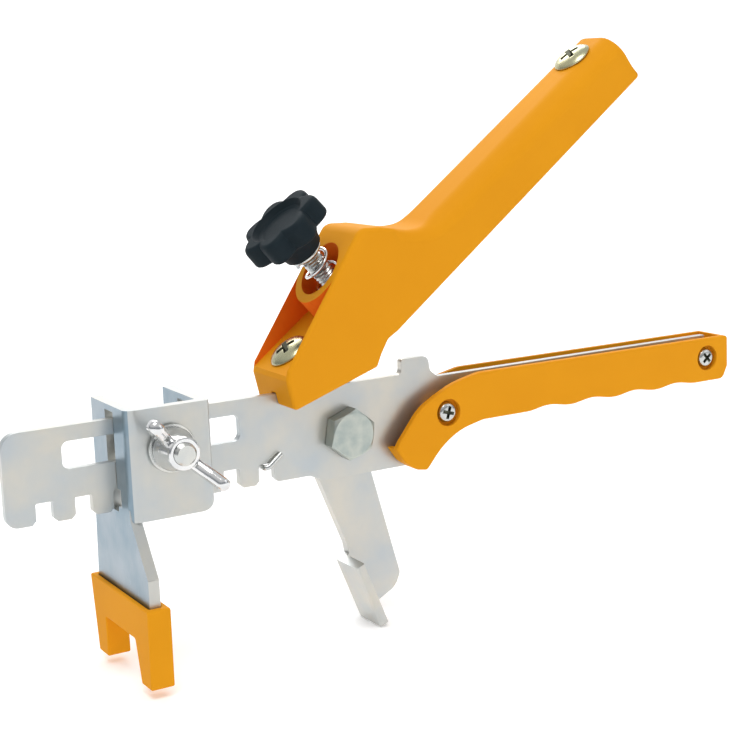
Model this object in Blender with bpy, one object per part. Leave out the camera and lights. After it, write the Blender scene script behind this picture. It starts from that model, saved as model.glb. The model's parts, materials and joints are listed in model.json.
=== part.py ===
"""Adjustable traction pliers for clip-and-wedge tile levelling.

Frame while modelling: millimetres, origin on the pivot axis at the front face of the main plate,
+X along the plate towards the grips, +Y away from the front, +Z up.  The finished tool is moved so
that the centre of its bounding box is the world origin, and every mesh is stored in metres.
"""
import bpy
import bmesh
from math import atan2, ceil, cos, hypot, pi, radians, sin, tan
from mathutils import Vector

MM = 0.001
GAP = 0.3                    # clearance between faces that touch on the real tool
SEGMENTS = 32                # sides of a turned piece
ARC_STEP = 15.0              # degrees between points on a rounded corner

# ---------------------------------------------------------------- driving dimensions, mm and degrees
PLATE_THICKNESS = 3.0
PLATE_TOP = 18.6             # above the pivot
PLATE_BOTTOM = -14.2         # toothed edge
HEEL_BOTTOM = -16.9          # deeper edge under the pivot
FRONT_REACH = 131.2          # pivot to the free end of the plate
SLOT_START = 43.5            # pivot to the near end of the long slot
SLOT_END = 110.2
SLOT_HEIGHT = 9.8
SLOT_HEIGHT_CENTRE = 8.3
NOTCH_COUNT = 7
NOTCH_PITCH = 14.0
NOTCH_WIDTH = 6.2
NOTCH_DEPTH = 7.4
FIRST_NOTCH = 33.6           # pivot to the middle of the nearest notch
TAB_START = 25.0             # stop tab that the knob's stud meets
TAB_WIDTH = 12.0
TAB_HEIGHT = 6.0

GRIP_END = 182.0             # pivot to the end of the lower grip
GRIP_TOP = 16.0
GRIP_BOTTOM = -2.3
GRIP_WIDTH = 18.0            # across both shells
SHELL_WALL = 2.6
GROOVE_PITCH = 21.8
GROOVE_DEPTH = 1.3
SHELL_SCREWS_X = (41.0, 170.5)
SHELL_SCREWS_Z = (2.8, 7.7)
SHELL_SCREW = 4.0            # thread diameter
SHELL_HEAD = 8.0
SHELL_RECESS = 10.6

PIVOT_BOLT = 10.0            # thread diameter
PIVOT_FLATS = 17.0
PIVOT_HEAD = 6.0
HEX_TURN = -10.0             # how the bolt head happens to stand
BUSH_DIAMETER = PIVOT_BOLT + 2.0
BUSH_END = 16.4              # along +Y
LEVER_THICKNESS = 4.0
SPRING_WIRE = 2.0
SPRING_RADIUS = BUSH_DIAMETER / 2 + SPRING_WIRE / 2 + 1.5

GRIP_ANGLE = 37.35           # upper grip above the plate
NOSE_ANGLE = 57.0            # nose face above the plate
UPPER_GRIP_LENGTH = 146.3
UPPER_GRIP_HEIGHT = 20.8
NOSE_HALF_WIDTH = 14.6
TIP_HALF_WIDTH = 12.8
GRIP_WALL = 3.6              # moulding above the folded strap
NOSE_FLOOR = 2.5             # moulding between the strap and the nose pocket
NOSE_EDGE = 1.5              # rounding of the moulding's rims
GRIP_EDGE = 8.0              # rounding along the top of the grip
POCKET_RIM = 1.5
CAVITY_HALF_WIDTH = 11.1
HANDLE_SCREW = 6.0
HANDLE_HEAD = 15.6
NOSE_SCREW = 33.8            # before the start of the upper grip
END_SCREW_FROM_TIP = 14.3    # end screw to the end of the upper grip
STRAP_START = -40.5
STRAP_AFTER_SCREW = 7.5

KNOB_ANGLE = 131.0
KNOB_STUD = 8.0
KNOB_RADIUS = 16.8
KNOB_LOBES = 7
KNOB_TURN = 28.0             # how the knob happens to stand
KNOB_UNDERSIDE = 9.1         # above the nose face, along the stud
KNOB_SKIRT = 16.3
KNOB_TOP = 25.4
STUD_REACH = 36.0            # nose face to the stud's tip
KNOB_PLACE = 40.4            # up the nose face from its lower corner
BOSS_HOLE = 20.6
BOSS_OUTSIDE = 27.2
BOSS_DEPTH = 8.0
STUD_NUT = 13.0              # across flats

BRACKET_WALL = 4.0
BRACKET_WIDTH = 31.4
BRACKET_CENTRE = 75.6        # pivot to the bracket's middle
BRACKET_FRONT = -12.5
BRACKET_BACK = 20.6
BRACKET_TOP = 23.0
BRACKET_BOTTOM = -16.4
LEG_BOTTOM = -56.0
CLAMP_BOLT = 8.0
CLAMP_END = -26.6

SHOE_DEPTH = 8.6
SHOE_TOP = -43.4
SHOE_BOTTOM = -71.6
FORK_TOP = -56.6

# ---------------------------------------------------------------- derived places
PLATE_BACK = PLATE_THICKNESS
MIDDLE_Y = PLATE_THICKNESS / 2
LEVER_FRONT = PLATE_BACK + GAP
LEVER_BACK = LEVER_FRONT + LEVER_THICKNESS
END_SCREW = UPPER_GRIP_LENGTH - END_SCREW_FROM_TIP

ORANGE = (0.80, 0.36, 0.03, 1.0)
ZINC = (0.62, 0.63, 0.60, 1.0)
YELLOW_ZINC = (0.55, 0.52, 0.36, 1.0)
BLACK = (0.02, 0.03, 0.035, 1.0)
BRASS = (0.60, 0.45, 0.18, 1.0)

tool = None                  # the empty that carries every body


# ---------------------------------------------------------------- plain geometry
def along(point, degrees, distance):
    """The point that lies distance away from point, at an angle in the XZ plane."""
    return (point[0] + distance * cos(radians(degrees)), point[1] + distance * sin(radians(degrees)))


def offset(point, degrees, forward, left):
    """Forward along the angle, then left of it."""
    return along(along(point, degrees, forward), degrees + 90.0, left)


def rounded(corners):
    """An outline of (x, z, radius) corners, with an arc at each corner whose radius isn't zero."""
    points = []
    count = len(corners)
    for i, (x, z, radius) in enumerate(corners):
        before = Vector(corners[i - 1][:2]) - Vector((x, z))
        after = Vector(corners[(i + 1) % count][:2]) - Vector((x, z))
        half = before.angle(after) / 2
        if radius <= 0.0 or half > radians(88.0):
            points.append((x, z))
            continue
        run = min(radius / tan(half), 0.48 * before.length, 0.48 * after.length)
        radius = run * tan(half)
        centre = Vector((x, z)) + (before.normalized() + after.normalized()).normalized() * (radius / sin(half))
        start = Vector((x, z)) + before.normalized() * run - centre
        end = Vector((x, z)) + after.normalized() * run - centre
        first = atan2(start.y, start.x)
        sweep = atan2(end.y, end.x) - first
        sweep = (sweep + pi) % (2 * pi) - pi
        steps = max(2, ceil(abs(sweep) / radians(ARC_STEP)))
        for k in range(steps + 1):
            angle = first + sweep * k / steps
            points.append((centre.x + radius * cos(angle), centre.y + radius * sin(angle)))
    return points


def strip(path, half_width):
    """The outline of a strip of constant width along a path."""
    left, right = [], []
    for i, point in enumerate(path):
        here = Vector(point)
        before = (here - Vector(path[i - 1])).normalized() if i else None
        after = (Vector(path[i + 1]) - here).normalized() if i + 1 < len(path) else None
        heading = ((before or after) + (after or before)).normalized()
        normal = Vector((-heading.y, heading.x))
        reach = half_width / normal.dot(Vector((-(after or before).y, (after or before).x)))
        left.append(tuple(here + normal * reach))
        right.append(tuple(here - normal * reach))
    return left + right[::-1]


def circle(centre, radius, sides=SEGMENTS, turn=0.0):
    steps = [radians(turn) + 2 * pi * k / sides for k in range(sides)]
    return [(centre[0] + radius * cos(a), centre[1] + radius * sin(a)) for a in steps]


# ---------------------------------------------------------------- objects
def finish(mesh_data, name, colour, metallic, roughness, parent, cutter=False):
    bmesh.ops.remove_doubles(mesh_data, verts=mesh_data.verts, dist=1e-5)
    bmesh.ops.recalc_face_normals(mesh_data, faces=mesh_data.faces)
    bmesh.ops.scale(mesh_data, vec=(MM, MM, MM), verts=mesh_data.verts)
    mesh = bpy.data.meshes.new(name)
    mesh_data.to_mesh(mesh)
    mesh_data.free()
    mesh.shade_smooth()
    mesh.set_sharp_from_angle(angle=radians(30.0))
    piece = bpy.data.objects.new(name, mesh)
    bpy.context.collection.objects.link(piece)
    if cutter:
        piece.hide_render = True
        piece.display_type = "WIRE"
    else:
        mesh.materials.append(material(name, colour, metallic, roughness))
    anchor = parent or tool
    piece.parent = anchor
    piece.location = -world_place(anchor)
    return piece


def world_place(anchor):
    place = Vector((0.0, 0.0, 0.0))
    while anchor and anchor is not tool:
        place += anchor.location
        anchor = anchor.parent
    return place


def material(name, colour, metallic, roughness):
    finish_ = bpy.data.materials.new(name + "_finish")
    finish_.use_nodes = True
    shader = finish_.node_tree.nodes["Principled BSDF"]
    shader.inputs["Base Color"].default_value = colour
    shader.inputs["Metallic"].default_value = metallic
    shader.inputs["Roughness"].default_value = roughness
    return finish_


STEEL = dict(colour=ZINC, metallic=1.0, roughness=0.35)
PASSIVATED = dict(colour=YELLOW_ZINC, metallic=1.0, roughness=0.35)
PLASTIC = dict(colour=ORANGE, metallic=0.0, roughness=0.4)
PHENOLIC = dict(colour=BLACK, metallic=0.0, roughness=0.5)
BRASSY = dict(colour=BRASS, metallic=1.0, roughness=0.35)
TOOLING = dict(colour=ZINC, metallic=0.0, roughness=1.0, cutter=True)


def loft(rings, name, look, parent=None, closed=False):
    """Joins rings of points, each with the same count, and caps the ends unless the loft is closed."""
    bm = bmesh.new()
    loops = [[bm.verts.new(p) for p in ring] for ring in rings]
    pairs = list(zip(loops, loops[1:]))
    if closed:
        pairs.append((loops[-1], loops[0]))
    for a, b in pairs:
        for i in range(len(a)):
            j = (i + 1) % len(a)
            bm.faces.new((a[i], a[j], b[j], b[i]))
    if not closed:
        bm.faces.new(loops[0])
        bm.faces.new(loops[-1])
    return finish(bm, name, parent=parent, **look)


def prism(name, outline, front, back, look, parent=None):
    """An XZ outline pushed from y = front to y = back."""
    return loft([[(x, y, z) for x, z in outline] for y in (front, back)], name, look, parent)


def turned(name, profile, foot, axis, look, parent=None, sides=SEGMENTS, turn=0.0):
    """A turned solid: (radius, height) points from the lower centre to the upper centre."""
    up = Vector(axis).normalized()
    side = up.orthogonal().normalized()
    third = up.cross(side)
    bm = bmesh.new()
    rings = []
    for radius, height in profile:
        centre = Vector(foot) + up * height
        if radius < 1e-6:
            rings.append([bm.verts.new(centre)])
            continue
        steps = [turn + 2 * pi * k / sides for k in range(sides)]
        rings.append([bm.verts.new(centre + (side * cos(a) + third * sin(a)) * radius) for a in steps])
    hollow = len(rings[0]) > 1
    pairs = list(zip(rings, rings[1:]))
    if hollow:
        pairs.append((rings[-1], rings[0]))
    for a, b in pairs:
        for i in range(sides):
            j = (i + 1) % sides
            corners = [a[i % len(a)], a[j % len(a)], b[j % len(b)], b[i % len(b)]]
            bm.faces.new(list(dict.fromkeys(corners)))
    return finish(bm, name, parent=parent, **look)


def washer(name, foot, axis, inner, outer, thickness, look, parent=None):
    profile = [(inner, 0.0), (outer, 0.0), (outer, thickness), (inner, thickness)]
    return turned(name, profile, foot, axis, look, parent)


def rod_cutter(name, foot, axis, radius, length, parent=None, sides=SEGMENTS):
    profile = [(0.0, 0.0), (radius, 0.0), (radius, length), (0.0, length)]
    return turned(name, profile, foot, axis, TOOLING, parent, sides, turn=radius)


def wire(name, path, diameter, look, parent=None, sides=8):
    """A round wire along a path, its section carried along without twist."""
    points = [Vector(p) for p in path]
    heading = (points[1] - points[0]).normalized()
    side = heading.orthogonal().normalized()
    rings = []
    for i, point in enumerate(points):
        ahead = points[min(i + 1, len(points) - 1)] - points[max(i - 1, 0)]
        ahead.normalize()
        side = (side - ahead * side.dot(ahead)).normalized()
        other = ahead.cross(side)
        steps = [2 * pi * k / sides for k in range(sides)]
        rings.append([point + (side * cos(a) + other * sin(a)) * diameter / 2 for a in steps])
    return loft(rings, name, look, parent)


def boolean(piece, operand, operation="DIFFERENCE"):
    step = piece.modifiers.new(operand.name, "BOOLEAN")
    step.operation = operation
    step.object = operand
    step.solver = "EXACT"


def cut(piece, *cutters):
    for cutter in cutters:
        boolean(piece, cutter)


def join(piece, *additions):
    for addition in additions:
        boolean(piece, addition, "UNION")


def empty(name, place, parent=None):
    holder = bpy.data.objects.new(name, None)
    bpy.context.collection.objects.link(holder)
    holder.parent = parent or tool
    holder.location = Vector(place) * MM - world_place(parent)
    return holder


# ---------------------------------------------------------------- main plate
def grip_contour(inset):
    """The lower grip's outline, moved inwards by inset, without the finger grooves."""
    bottom = GRIP_BOTTOM + inset
    heel = HEEL_BOTTOM - 1.3 + inset
    return [
        (17.4 + inset, -8.3, 0.0), (21.2 + inset, -14.0, 6.0), (26.4, HEEL_BOTTOM - 0.6 + inset, 4.0),
        (30.8 - inset / 2, heel, 1.6), (37.8, -10.2 + inset, 30.0), (46.0, -4.8 + inset, 30.0),
        (57.0, bottom, 12.0), (GRIP_END - 2.6 - inset, bottom, 3.0), (GRIP_END - inset, 3.0, 2.0),
        (GRIP_END - inset, GRIP_TOP, 0.6),
    ]


def plate_outline():
    tooth = 0.9
    corners = [(-FRONT_REACH, PLATE_TOP, 6.0), (-FRONT_REACH, PLATE_BOTTOM, 6.0)]
    for k in reversed(range(NOTCH_COUNT)):
        centre = -FIRST_NOTCH - k * NOTCH_PITCH
        left, right = centre - NOTCH_WIDTH / 2, centre + NOTCH_WIDTH / 2
        ceiling = PLATE_BOTTOM + NOTCH_DEPTH
        corners += [(left - tooth, PLATE_BOTTOM, 0.0), (left, PLATE_BOTTOM + tooth, 0.0), (left, ceiling, 0.5),
                    (right, ceiling, 0.5), (right, PLATE_BOTTOM + tooth, 0.0), (right + tooth, PLATE_BOTTOM, 0.0)]
    corners += [(-16.0, PLATE_BOTTOM, 4.0), (-10.5, HEEL_BOTTOM, 4.0)]
    corners += tang_edge(0.0)
    tab_end = TAB_START + TAB_WIDTH
    corners += [(tab_end + 4.0, GRIP_TOP, 2.0), (tab_end + 0.8, PLATE_TOP, 3.0),
                (tab_end, PLATE_TOP + TAB_HEIGHT, 3.0), (TAB_START, PLATE_TOP + TAB_HEIGHT, 1.2),
                (TAB_START, PLATE_TOP, 2.2)]
    return rounded(corners)


def main_plate():
    plate = prism("main_plate", plate_outline(), 0.0, PLATE_BACK, STEEL)
    low = SLOT_HEIGHT_CENTRE - SLOT_HEIGHT / 2
    high = SLOT_HEIGHT_CENTRE + SLOT_HEIGHT / 2
    slot = rounded([(-SLOT_END, low, 2.6), (-SLOT_START, low, 2.6), (-SLOT_START, high, 2.6), (-SLOT_END, high, 2.6)])
    cut(plate, prism("plate_slot_cutter", slot, -2.0, PLATE_BACK + 2.0, TOOLING))
    cut(plate, rod_cutter("plate_pivot_cutter", (0.0, -2.0, 0.0), (0, 1, 0), PIVOT_BOLT / 2 + GAP, PLATE_BACK + 4.0))
    for k, (x, z) in enumerate(zip(SHELL_SCREWS_X, SHELL_SCREWS_Z)):
        cut(plate, rod_cutter(f"plate_screw_cutter_{k}", (x, -2.0, z), (0, 1, 0), SHELL_SCREW / 2 + GAP,
                              PLATE_BACK + 4.0, sides=16))
    return plate


# ---------------------------------------------------------------- lower grip
def finger_grooves(points):
    """Shallow finger grooves along the underside of the grip."""
    stop = GRIP_END - 17.2
    start = stop - 4 * GROOVE_PITCH
    grooved = []
    for i, (x, z) in enumerate(points):
        grooved.append((x, z))
        following = points[(i + 1) % len(points)]
        if abs(z - GRIP_BOTTOM) < 0.01 and abs(following[1] - GRIP_BOTTOM) < 0.01 and following[0] - x > 50.0:
            count = 24
            for k in range(count + 1):
                here = start + (stop - start) * k / count
                lift = GROOVE_DEPTH * (0.5 - 0.5 * cos(2 * pi * (here - start) / GROOVE_PITCH))
                grooved.append((here, GRIP_BOTTOM + lift))
    return grooved


def shell_outline():
    mouth = [(56.0, GRIP_TOP + 0.5, 14.0), (43.0, 13.8, 40.0), (28.6, 6.3, 20.0), (19.2, -5.4, 0.0)]
    return finger_grooves(rounded(grip_contour(0.0) + mouth))


def tang_edge(extra):
    """The hidden lower edge of the plate inside the grip, grown by extra."""
    floor = GRIP_BOTTOM + SHELL_WALL + 0.7 - extra
    end = SHELL_SCREWS_X[-1] + 5.0 + extra
    return [(26.5, HEEL_BOTTOM - extra, 0.0), (29.6 + extra, -13.6 - extra / 2, 0.0),
            (36.2 + extra / 2, -7.0 - extra, 0.0), (44.0 + extra / 2, -2.0 - extra, 0.0),
            (54.0, floor, 0.0), (end, floor, 0.0), (end, GRIP_TOP, 0.0)]


def grip_shell(name, outer, inner):
    """One half of the lower grip, from its outer face to the joint in the middle."""
    inward = 1.0 if inner > outer else -1.0
    wall_end = outer + inward * SHELL_WALL
    plate_side = -GAP if inward > 0 else PLATE_BACK + GAP
    shell = prism(name, shell_outline(), min(outer, inner), max(outer, inner), PLASTIC)
    mould = grip_contour(SHELL_WALL)
    hollow = rounded(mould[:-1] + [(mould[-1][0], GRIP_TOP + 4.0, 0.0), (10.0, GRIP_TOP + 4.0, 0.0), (10.0, -8.3, 0.0)])
    cut(shell, prism(name + "_hollow", hollow, min(wall_end, inner + inward), max(wall_end, inner + inward), TOOLING))
    edge = rounded(tang_edge(GAP))
    way = [(8.0, edge[0][1])] + edge[:-1] + [(edge[-1][0], GRIP_TOP + 5.0), (8.0, GRIP_TOP + 5.0)]
    cut(shell, prism(name + "_plate_way", way, min(plate_side, inner + inward), max(plate_side, inner + inward),
                     TOOLING))
    bite = wall_end - inward * 0.8
    for k, (x, z) in enumerate(zip(SHELL_SCREWS_X, SHELL_SCREWS_Z)):
        boss = rod_cutter(f"{name}_boss_{k}", (x, bite, z), (0, inward, 0), SHELL_RECESS / 2 + 1.4,
                          abs(plate_side - bite))
        join(shell, boss)
    for k, (x, z) in enumerate(zip(SHELL_SCREWS_X, SHELL_SCREWS_Z)):
        hole = rod_cutter(f"{name}_hole_{k}", (x, outer - inward, z), (0, inward, 0), SHELL_SCREW / 2 + GAP,
                          abs(inner - outer) + 2.0, sides=16)
        cut(shell, hole)
    return shell


def lower_grip():
    front = MIDDLE_Y - GRIP_WIDTH / 2
    back = MIDDLE_Y + GRIP_WIDTH / 2
    head_depth, nut_depth, nut_flats = 2.6, 3.2, 7.0
    front_shell = grip_shell("lower_grip_front", front, MIDDLE_Y - GAP / 2)
    back_shell = grip_shell("lower_grip_back", back, MIDDLE_Y + GAP / 2)
    for k, (x, z) in enumerate(zip(SHELL_SCREWS_X, SHELL_SCREWS_Z)):
        cut(front_shell, rod_cutter(f"head_recess_{k}", (x, front - 1.0, z), (0, 1, 0), SHELL_RECESS / 2,
                                    head_depth + 1.0))
        hexagon = circle((x, z), nut_flats / cos(pi / 6) / 2 + GAP, 6)
        cut(back_shell, prism(f"nut_recess_{k}", hexagon, back - nut_depth - GAP, back + 1.0, TOOLING))
        shank, head = SHELL_SCREW / 2, SHELL_HEAD / 2
        seat = front + head_depth - GAP
        profile = [(0.0, -2.3), (head * 0.62, -2.3), (head * 0.92, -1.6), (head, -0.6), (head, 0.0),
                   (shank, 0.0), (shank, back - 0.4 - seat), (0.0, back - 0.4 - seat)]
        turned(f"grip_screw_{k + 1}", profile, (x, seat, z), (0, 1, 0), STEEL, sides=20)
        nut = prism(f"grip_nut_{k + 1}", circle((x, z), nut_flats / cos(pi / 6) / 2, 6), back - nut_depth, back - 0.2,
                    STEEL)
        cut(nut, rod_cutter(f"grip_nut_bore_{k}", (x, back - 8.0, z), (0, 1, 0), shank + 0.1, 10.0, sides=20))


# ---------------------------------------------------------------- pivot
def pivot_hardware():
    head_seat = -GAP
    washer_start = BUSH_END + GAP
    washer_end = washer_start + 2.0
    nut_start = washer_end + GAP
    nut_end = nut_start + 9.5
    corner = PIVOT_FLATS / cos(pi / 6) / 2
    hexagon = circle((0.0, 0.0), corner, 6, 30.0 + HEX_TURN)
    bolt = prism("pivot_bolt", hexagon, head_seat - PIVOT_HEAD, head_seat, STEEL)
    chamfer = [(0.0, 0.0), (corner + 3.0, 0.0), (corner + 3.0, PIVOT_HEAD - 1.0), (PIVOT_FLATS / 2, PIVOT_HEAD + 1.2),
               (0.0, PIVOT_HEAD + 1.2)]
    cone = turned("pivot_head_cone", chamfer, (0.0, head_seat + 0.5, 0.0), (0, -1, 0), TOOLING)
    boolean(bolt, cone, "INTERSECT")
    shank_length = nut_end + 1.2 - head_seat
    join(bolt, rod_cutter("pivot_shank", (0.0, head_seat - 1.0, 0.0), (0, 1, 0), PIVOT_BOLT / 2, shank_length + 1.0))
    bush_start = PLATE_BACK + GAP
    washer("pivot_bush", (0.0, bush_start, 0.0), (0, 1, 0), PIVOT_BOLT / 2 + 0.15, BUSH_DIAMETER / 2,
           BUSH_END - bush_start, BRASSY)
    washer("pivot_washer", (0.0, washer_start, 0.0), (0, 1, 0), PIVOT_BOLT / 2 + GAP, 10.0, 2.0, STEEL)
    nut = prism("pivot_nut", circle((0.0, 0.0), corner, 6), nut_start, nut_end - 2.0, STEEL)
    join(nut, rod_cutter("pivot_nut_collar", (0.0, nut_start + 3.0, 0.0), (0, 1, 0), PIVOT_FLATS / 2 - 0.6,
                         nut_end - nut_start - 3.0))
    cut(nut, rod_cutter("pivot_nut_bore", (0.0, nut_start - 1.0, 0.0), (0, 1, 0), PIVOT_BOLT / 2 + 0.15, 12.0))


def return_spring():
    """A torsion spring round the bush: one leg hooks over the plate, the other into the lever."""
    half = SPRING_WIRE / 2
    front_y = LEVER_BACK + GAP + half
    hook_y = -GAP - half
    hook_x = -FIRST_NOTCH - 0.8
    hook_z = PLATE_BOTTOM + NOTCH_DEPTH - GAP - half
    turns, pitch = 2.75, SPRING_WIRE + 0.15
    path = [(hook_x + 6.4, hook_y - 0.1, hook_z + 4.6), (hook_x + 3.4, hook_y - 0.1, hook_z + 2.2),
            (hook_x + 1.2, hook_y - 0.1, hook_z + 0.5), (hook_x, hook_y + 0.5, hook_z),
            (hook_x - 0.2, hook_y + 2.0, hook_z), (hook_x - 0.2, front_y - 1.6, hook_z),
            (hook_x + 0.4, front_y - 0.4, hook_z), (hook_x + 2.0, front_y, hook_z)]
    steps = 14
    for k in range(int(turns * steps) + 1):
        angle = -pi / 2 + 2 * pi * k / steps
        y = front_y + pitch * k / steps
        path.append((SPRING_RADIUS * cos(angle), y, SPRING_RADIUS * sin(angle)))
    back_y = front_y + pitch * turns
    end_x, end_z = LEVER_HOLE
    path += [(-SPRING_RADIUS, back_y, -3.0), (-SPRING_RADIUS, back_y, end_z + 2.2),
             (-SPRING_RADIUS, back_y - 0.6, end_z + 0.7), (end_x, back_y - 2.0, end_z),
             (end_x, PLATE_BACK + 0.6, end_z)]
    wire("return_spring", path, SPRING_WIRE, STEEL)


LEVER_HOLE = (-SPRING_RADIUS, -13.6)


# ---------------------------------------------------------------- lever
HANDLE_NUT = 10.0                                 # across flats
NOSE_CORNER = (-29.2, 28.7)                       # where the nose face begins
FOOT_TOP = (-3.9, -50.0)
FOOT_ANGLE = -69.0
FOOT_LENGTH = 26.2
FOOT_REACH = 18.0                                 # across the plate, towards the front
GRIP_START = (17.4, 38.0)                         # where the upper grip's lower edge begins


def nose_point(up, depth):
    """A point given by its distance up the nose face and its depth below that face."""
    return offset(NOSE_CORNER, NOSE_ANGLE, up, -depth)


def grip_point(out, height):
    """A point given by its distance along the upper grip and its height above the lower edge."""
    return offset(GRIP_START, GRIP_ANGLE, out, height)


def strap_outline(grown):
    """The folded strap under the moulding's roof, grown by a clearance."""
    low, high = strap_heights()
    end = END_SCREW + STRAP_AFTER_SCREW
    return [grip_point(STRAP_START - grown, low - grown), grip_point(end + grown, low - grown),
            grip_point(end + grown, high + grown), grip_point(STRAP_START - grown, high + grown)]


def strap_heights():
    high = UPPER_GRIP_HEIGHT - GRIP_WALL - GAP
    return high - LEVER_THICKNESS, high


def height_of(point):
    """How high a point lies above the upper grip's lower edge line."""
    dx, dz = point[0] - GRIP_START[0], point[1] - GRIP_START[1]
    return dz * cos(radians(GRIP_ANGLE)) - dx * sin(radians(GRIP_ANGLE))


def lever_plate(parent):
    """The squeezing lever: arm, foot folded to the front, and web folded over for the grip."""
    foot_end = along(FOOT_TOP, FOOT_ANGLE, FOOT_LENGTH)
    foot_rear = offset(foot_end, FOOT_ANGLE, -2.0, LEVER_THICKNESS - 0.5)
    low, _ = strap_heights()
    arm = rounded([
        (-10.4, -17.5, 0.0), (0.0, -44.2, 2.0), (*FOOT_TOP, 1.5), (*foot_end, 0.0), (*foot_rear, 0.0),
        (20.6, -65.0, 8.0), (22.8, -59.8, 3.0), (11.9, -17.8, 0.0), (13.0, -8.0, 6.0), (13.0, 6.0, 8.0),
        (4.6, 17.0, 6.0), (3.5, 25.0, 6.0), (*grip_point(-9.5, low + 0.6), 0.0), (*grip_point(-27.0, low + 0.6), 0.0),
        (-17.0, 18.0, 8.0), (-15.0, -2.0, 8.0),
    ])
    plate = prism("lever_plate", arm, LEVER_FRONT, LEVER_BACK, STEEL, parent)
    foot_middle = [offset(FOOT_TOP, FOOT_ANGLE, d, LEVER_THICKNESS / 2) for d in (0.6, FOOT_LENGTH)]
    foot = prism("lever_foot", strip(foot_middle, LEVER_THICKNESS / 2), LEVER_BACK - FOOT_REACH, LEVER_BACK, TOOLING,
                 parent)
    folded = prism("lever_strap", strap_outline(0.0), strap_front(), LEVER_BACK, TOOLING, parent)
    join(plate, foot, folded)
    bore = BUSH_DIAMETER / 2 + 0.1
    cut(plate, rod_cutter("lever_bore", (0.0, LEVER_FRONT - 1.0, 0.0), (0, 1, 0), bore, LEVER_THICKNESS + 2.0, parent))
    hole_x, hole_z = LEVER_HOLE
    cut(plate, rod_cutter("lever_spring_hole", (hole_x, LEVER_FRONT - 1.0, hole_z), (0, 1, 0), SPRING_WIRE / 2 + GAP,
                          LEVER_THICKNESS + 2.0, parent, sides=16))
    for name, place, axis in handle_screws():
        cut(plate, rod_cutter(f"lever_{name}_hole", place, axis, HANDLE_SCREW / 2 + GAP, 40.0, parent, sides=20))
        nut_top = Vector(place) + Vector(axis) * (low - GAP / 2)
        room = HANDLE_NUT / cos(pi / 6) / 2 + 0.5
        cut(plate, rod_cutter(f"lever_{name}_nut_room", nut_top, -Vector(axis), room, 12.0, parent))
    knob_foot, knob_axis = knob_line(-30.0)
    cut(plate, rod_cutter("lever_stud_hole", knob_foot, knob_axis, KNOB_STUD / 2 + GAP, 32.0, parent))
    room_foot, inward = knob_line(stud_nut_top() + 0.2)[0], -Vector(knob_axis)
    room = STUD_NUT / cos(pi / 6) / 2 + 0.5
    cut(plate, rod_cutter("lever_stud_nut_room", room_foot, inward, room, 9.0, parent))


def strap_front():
    """The strap reaches as far in front of the middle as the lever's back lies behind it."""
    return 2 * MIDDLE_Y - LEVER_BACK


def stud_nut_top():
    """How far the stud nut's top lies from the nose face, along the knob's axis."""
    tilt = radians(KNOB_ANGLE - 90.0 - GRIP_ANGLE)
    low, _ = strap_heights()
    drop = height_of(nose_point(KNOB_PLACE, 0.0)) - low
    return -drop / cos(tilt) - STUD_NUT * 0.58 * abs(tan(tilt)) - GAP


def handle_screws():
    """(name, the point below the screw on the upper grip's lower edge line, outward axis)."""
    axis = (-sin(radians(GRIP_ANGLE)), 0.0, cos(radians(GRIP_ANGLE)))
    nose, end = grip_point(-NOSE_SCREW, 0.0), grip_point(END_SCREW, 0.0)
    return (("nose", (nose[0], MIDDLE_Y, nose[1]), axis), ("end", (end[0], MIDDLE_Y, end[1]), axis))


def knob_line(height):
    """A point on the knob's axis, height above the nose face, and the axis that points outwards."""
    face = nose_point(KNOB_PLACE, 0.0)
    place = along(face, KNOB_ANGLE, height)
    return (place[0], MIDDLE_Y, place[1]), (cos(radians(KNOB_ANGLE)), 0.0, sin(radians(KNOB_ANGLE)))


# ---------------------------------------------------------------- upper handle
def handle_outline():
    tip_low = grip_point(UPPER_GRIP_LENGTH, 0.0)
    tip_high = grip_point(UPPER_GRIP_LENGTH - 1.0, UPPER_GRIP_HEIGHT)
    saddle = grip_point(34.0, UPPER_GRIP_HEIGHT)
    return rounded([
        (-27.4, 13.8, 1.7), (7.9, 25.6, 1.7), (9.8, 30.0, 3.0), (13.0, 35.4, 4.0), (*GRIP_START, 5.0),
        (*tip_low, 1.7), (*tip_high, 1.2), (*saddle, 24.0), (25.0, 74.6, 16.0), (11.5, 77.0, 4.0),
        (2.6, 77.3, 5.0), (*NOSE_CORNER, 1.7), (-29.9, 25.0, 1.7),
    ])


def edge_radius(point):
    """Rim rounding: small on the nose and along the bottom, large along the top of the grip."""
    out = hypot(point[0] - GRIP_START[0], point[1] - GRIP_START[1])
    if height_of(point) <= UPPER_GRIP_HEIGHT - 2.0:
        return NOSE_EDGE
    share = min(1.0, max(0.0, (out - 28.0) / 20.0)) if point[0] > GRIP_START[0] else 0.0
    return NOSE_EDGE + (GRIP_EDGE - NOSE_EDGE) * share * share * (3.0 - 2.0 * share)


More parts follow.
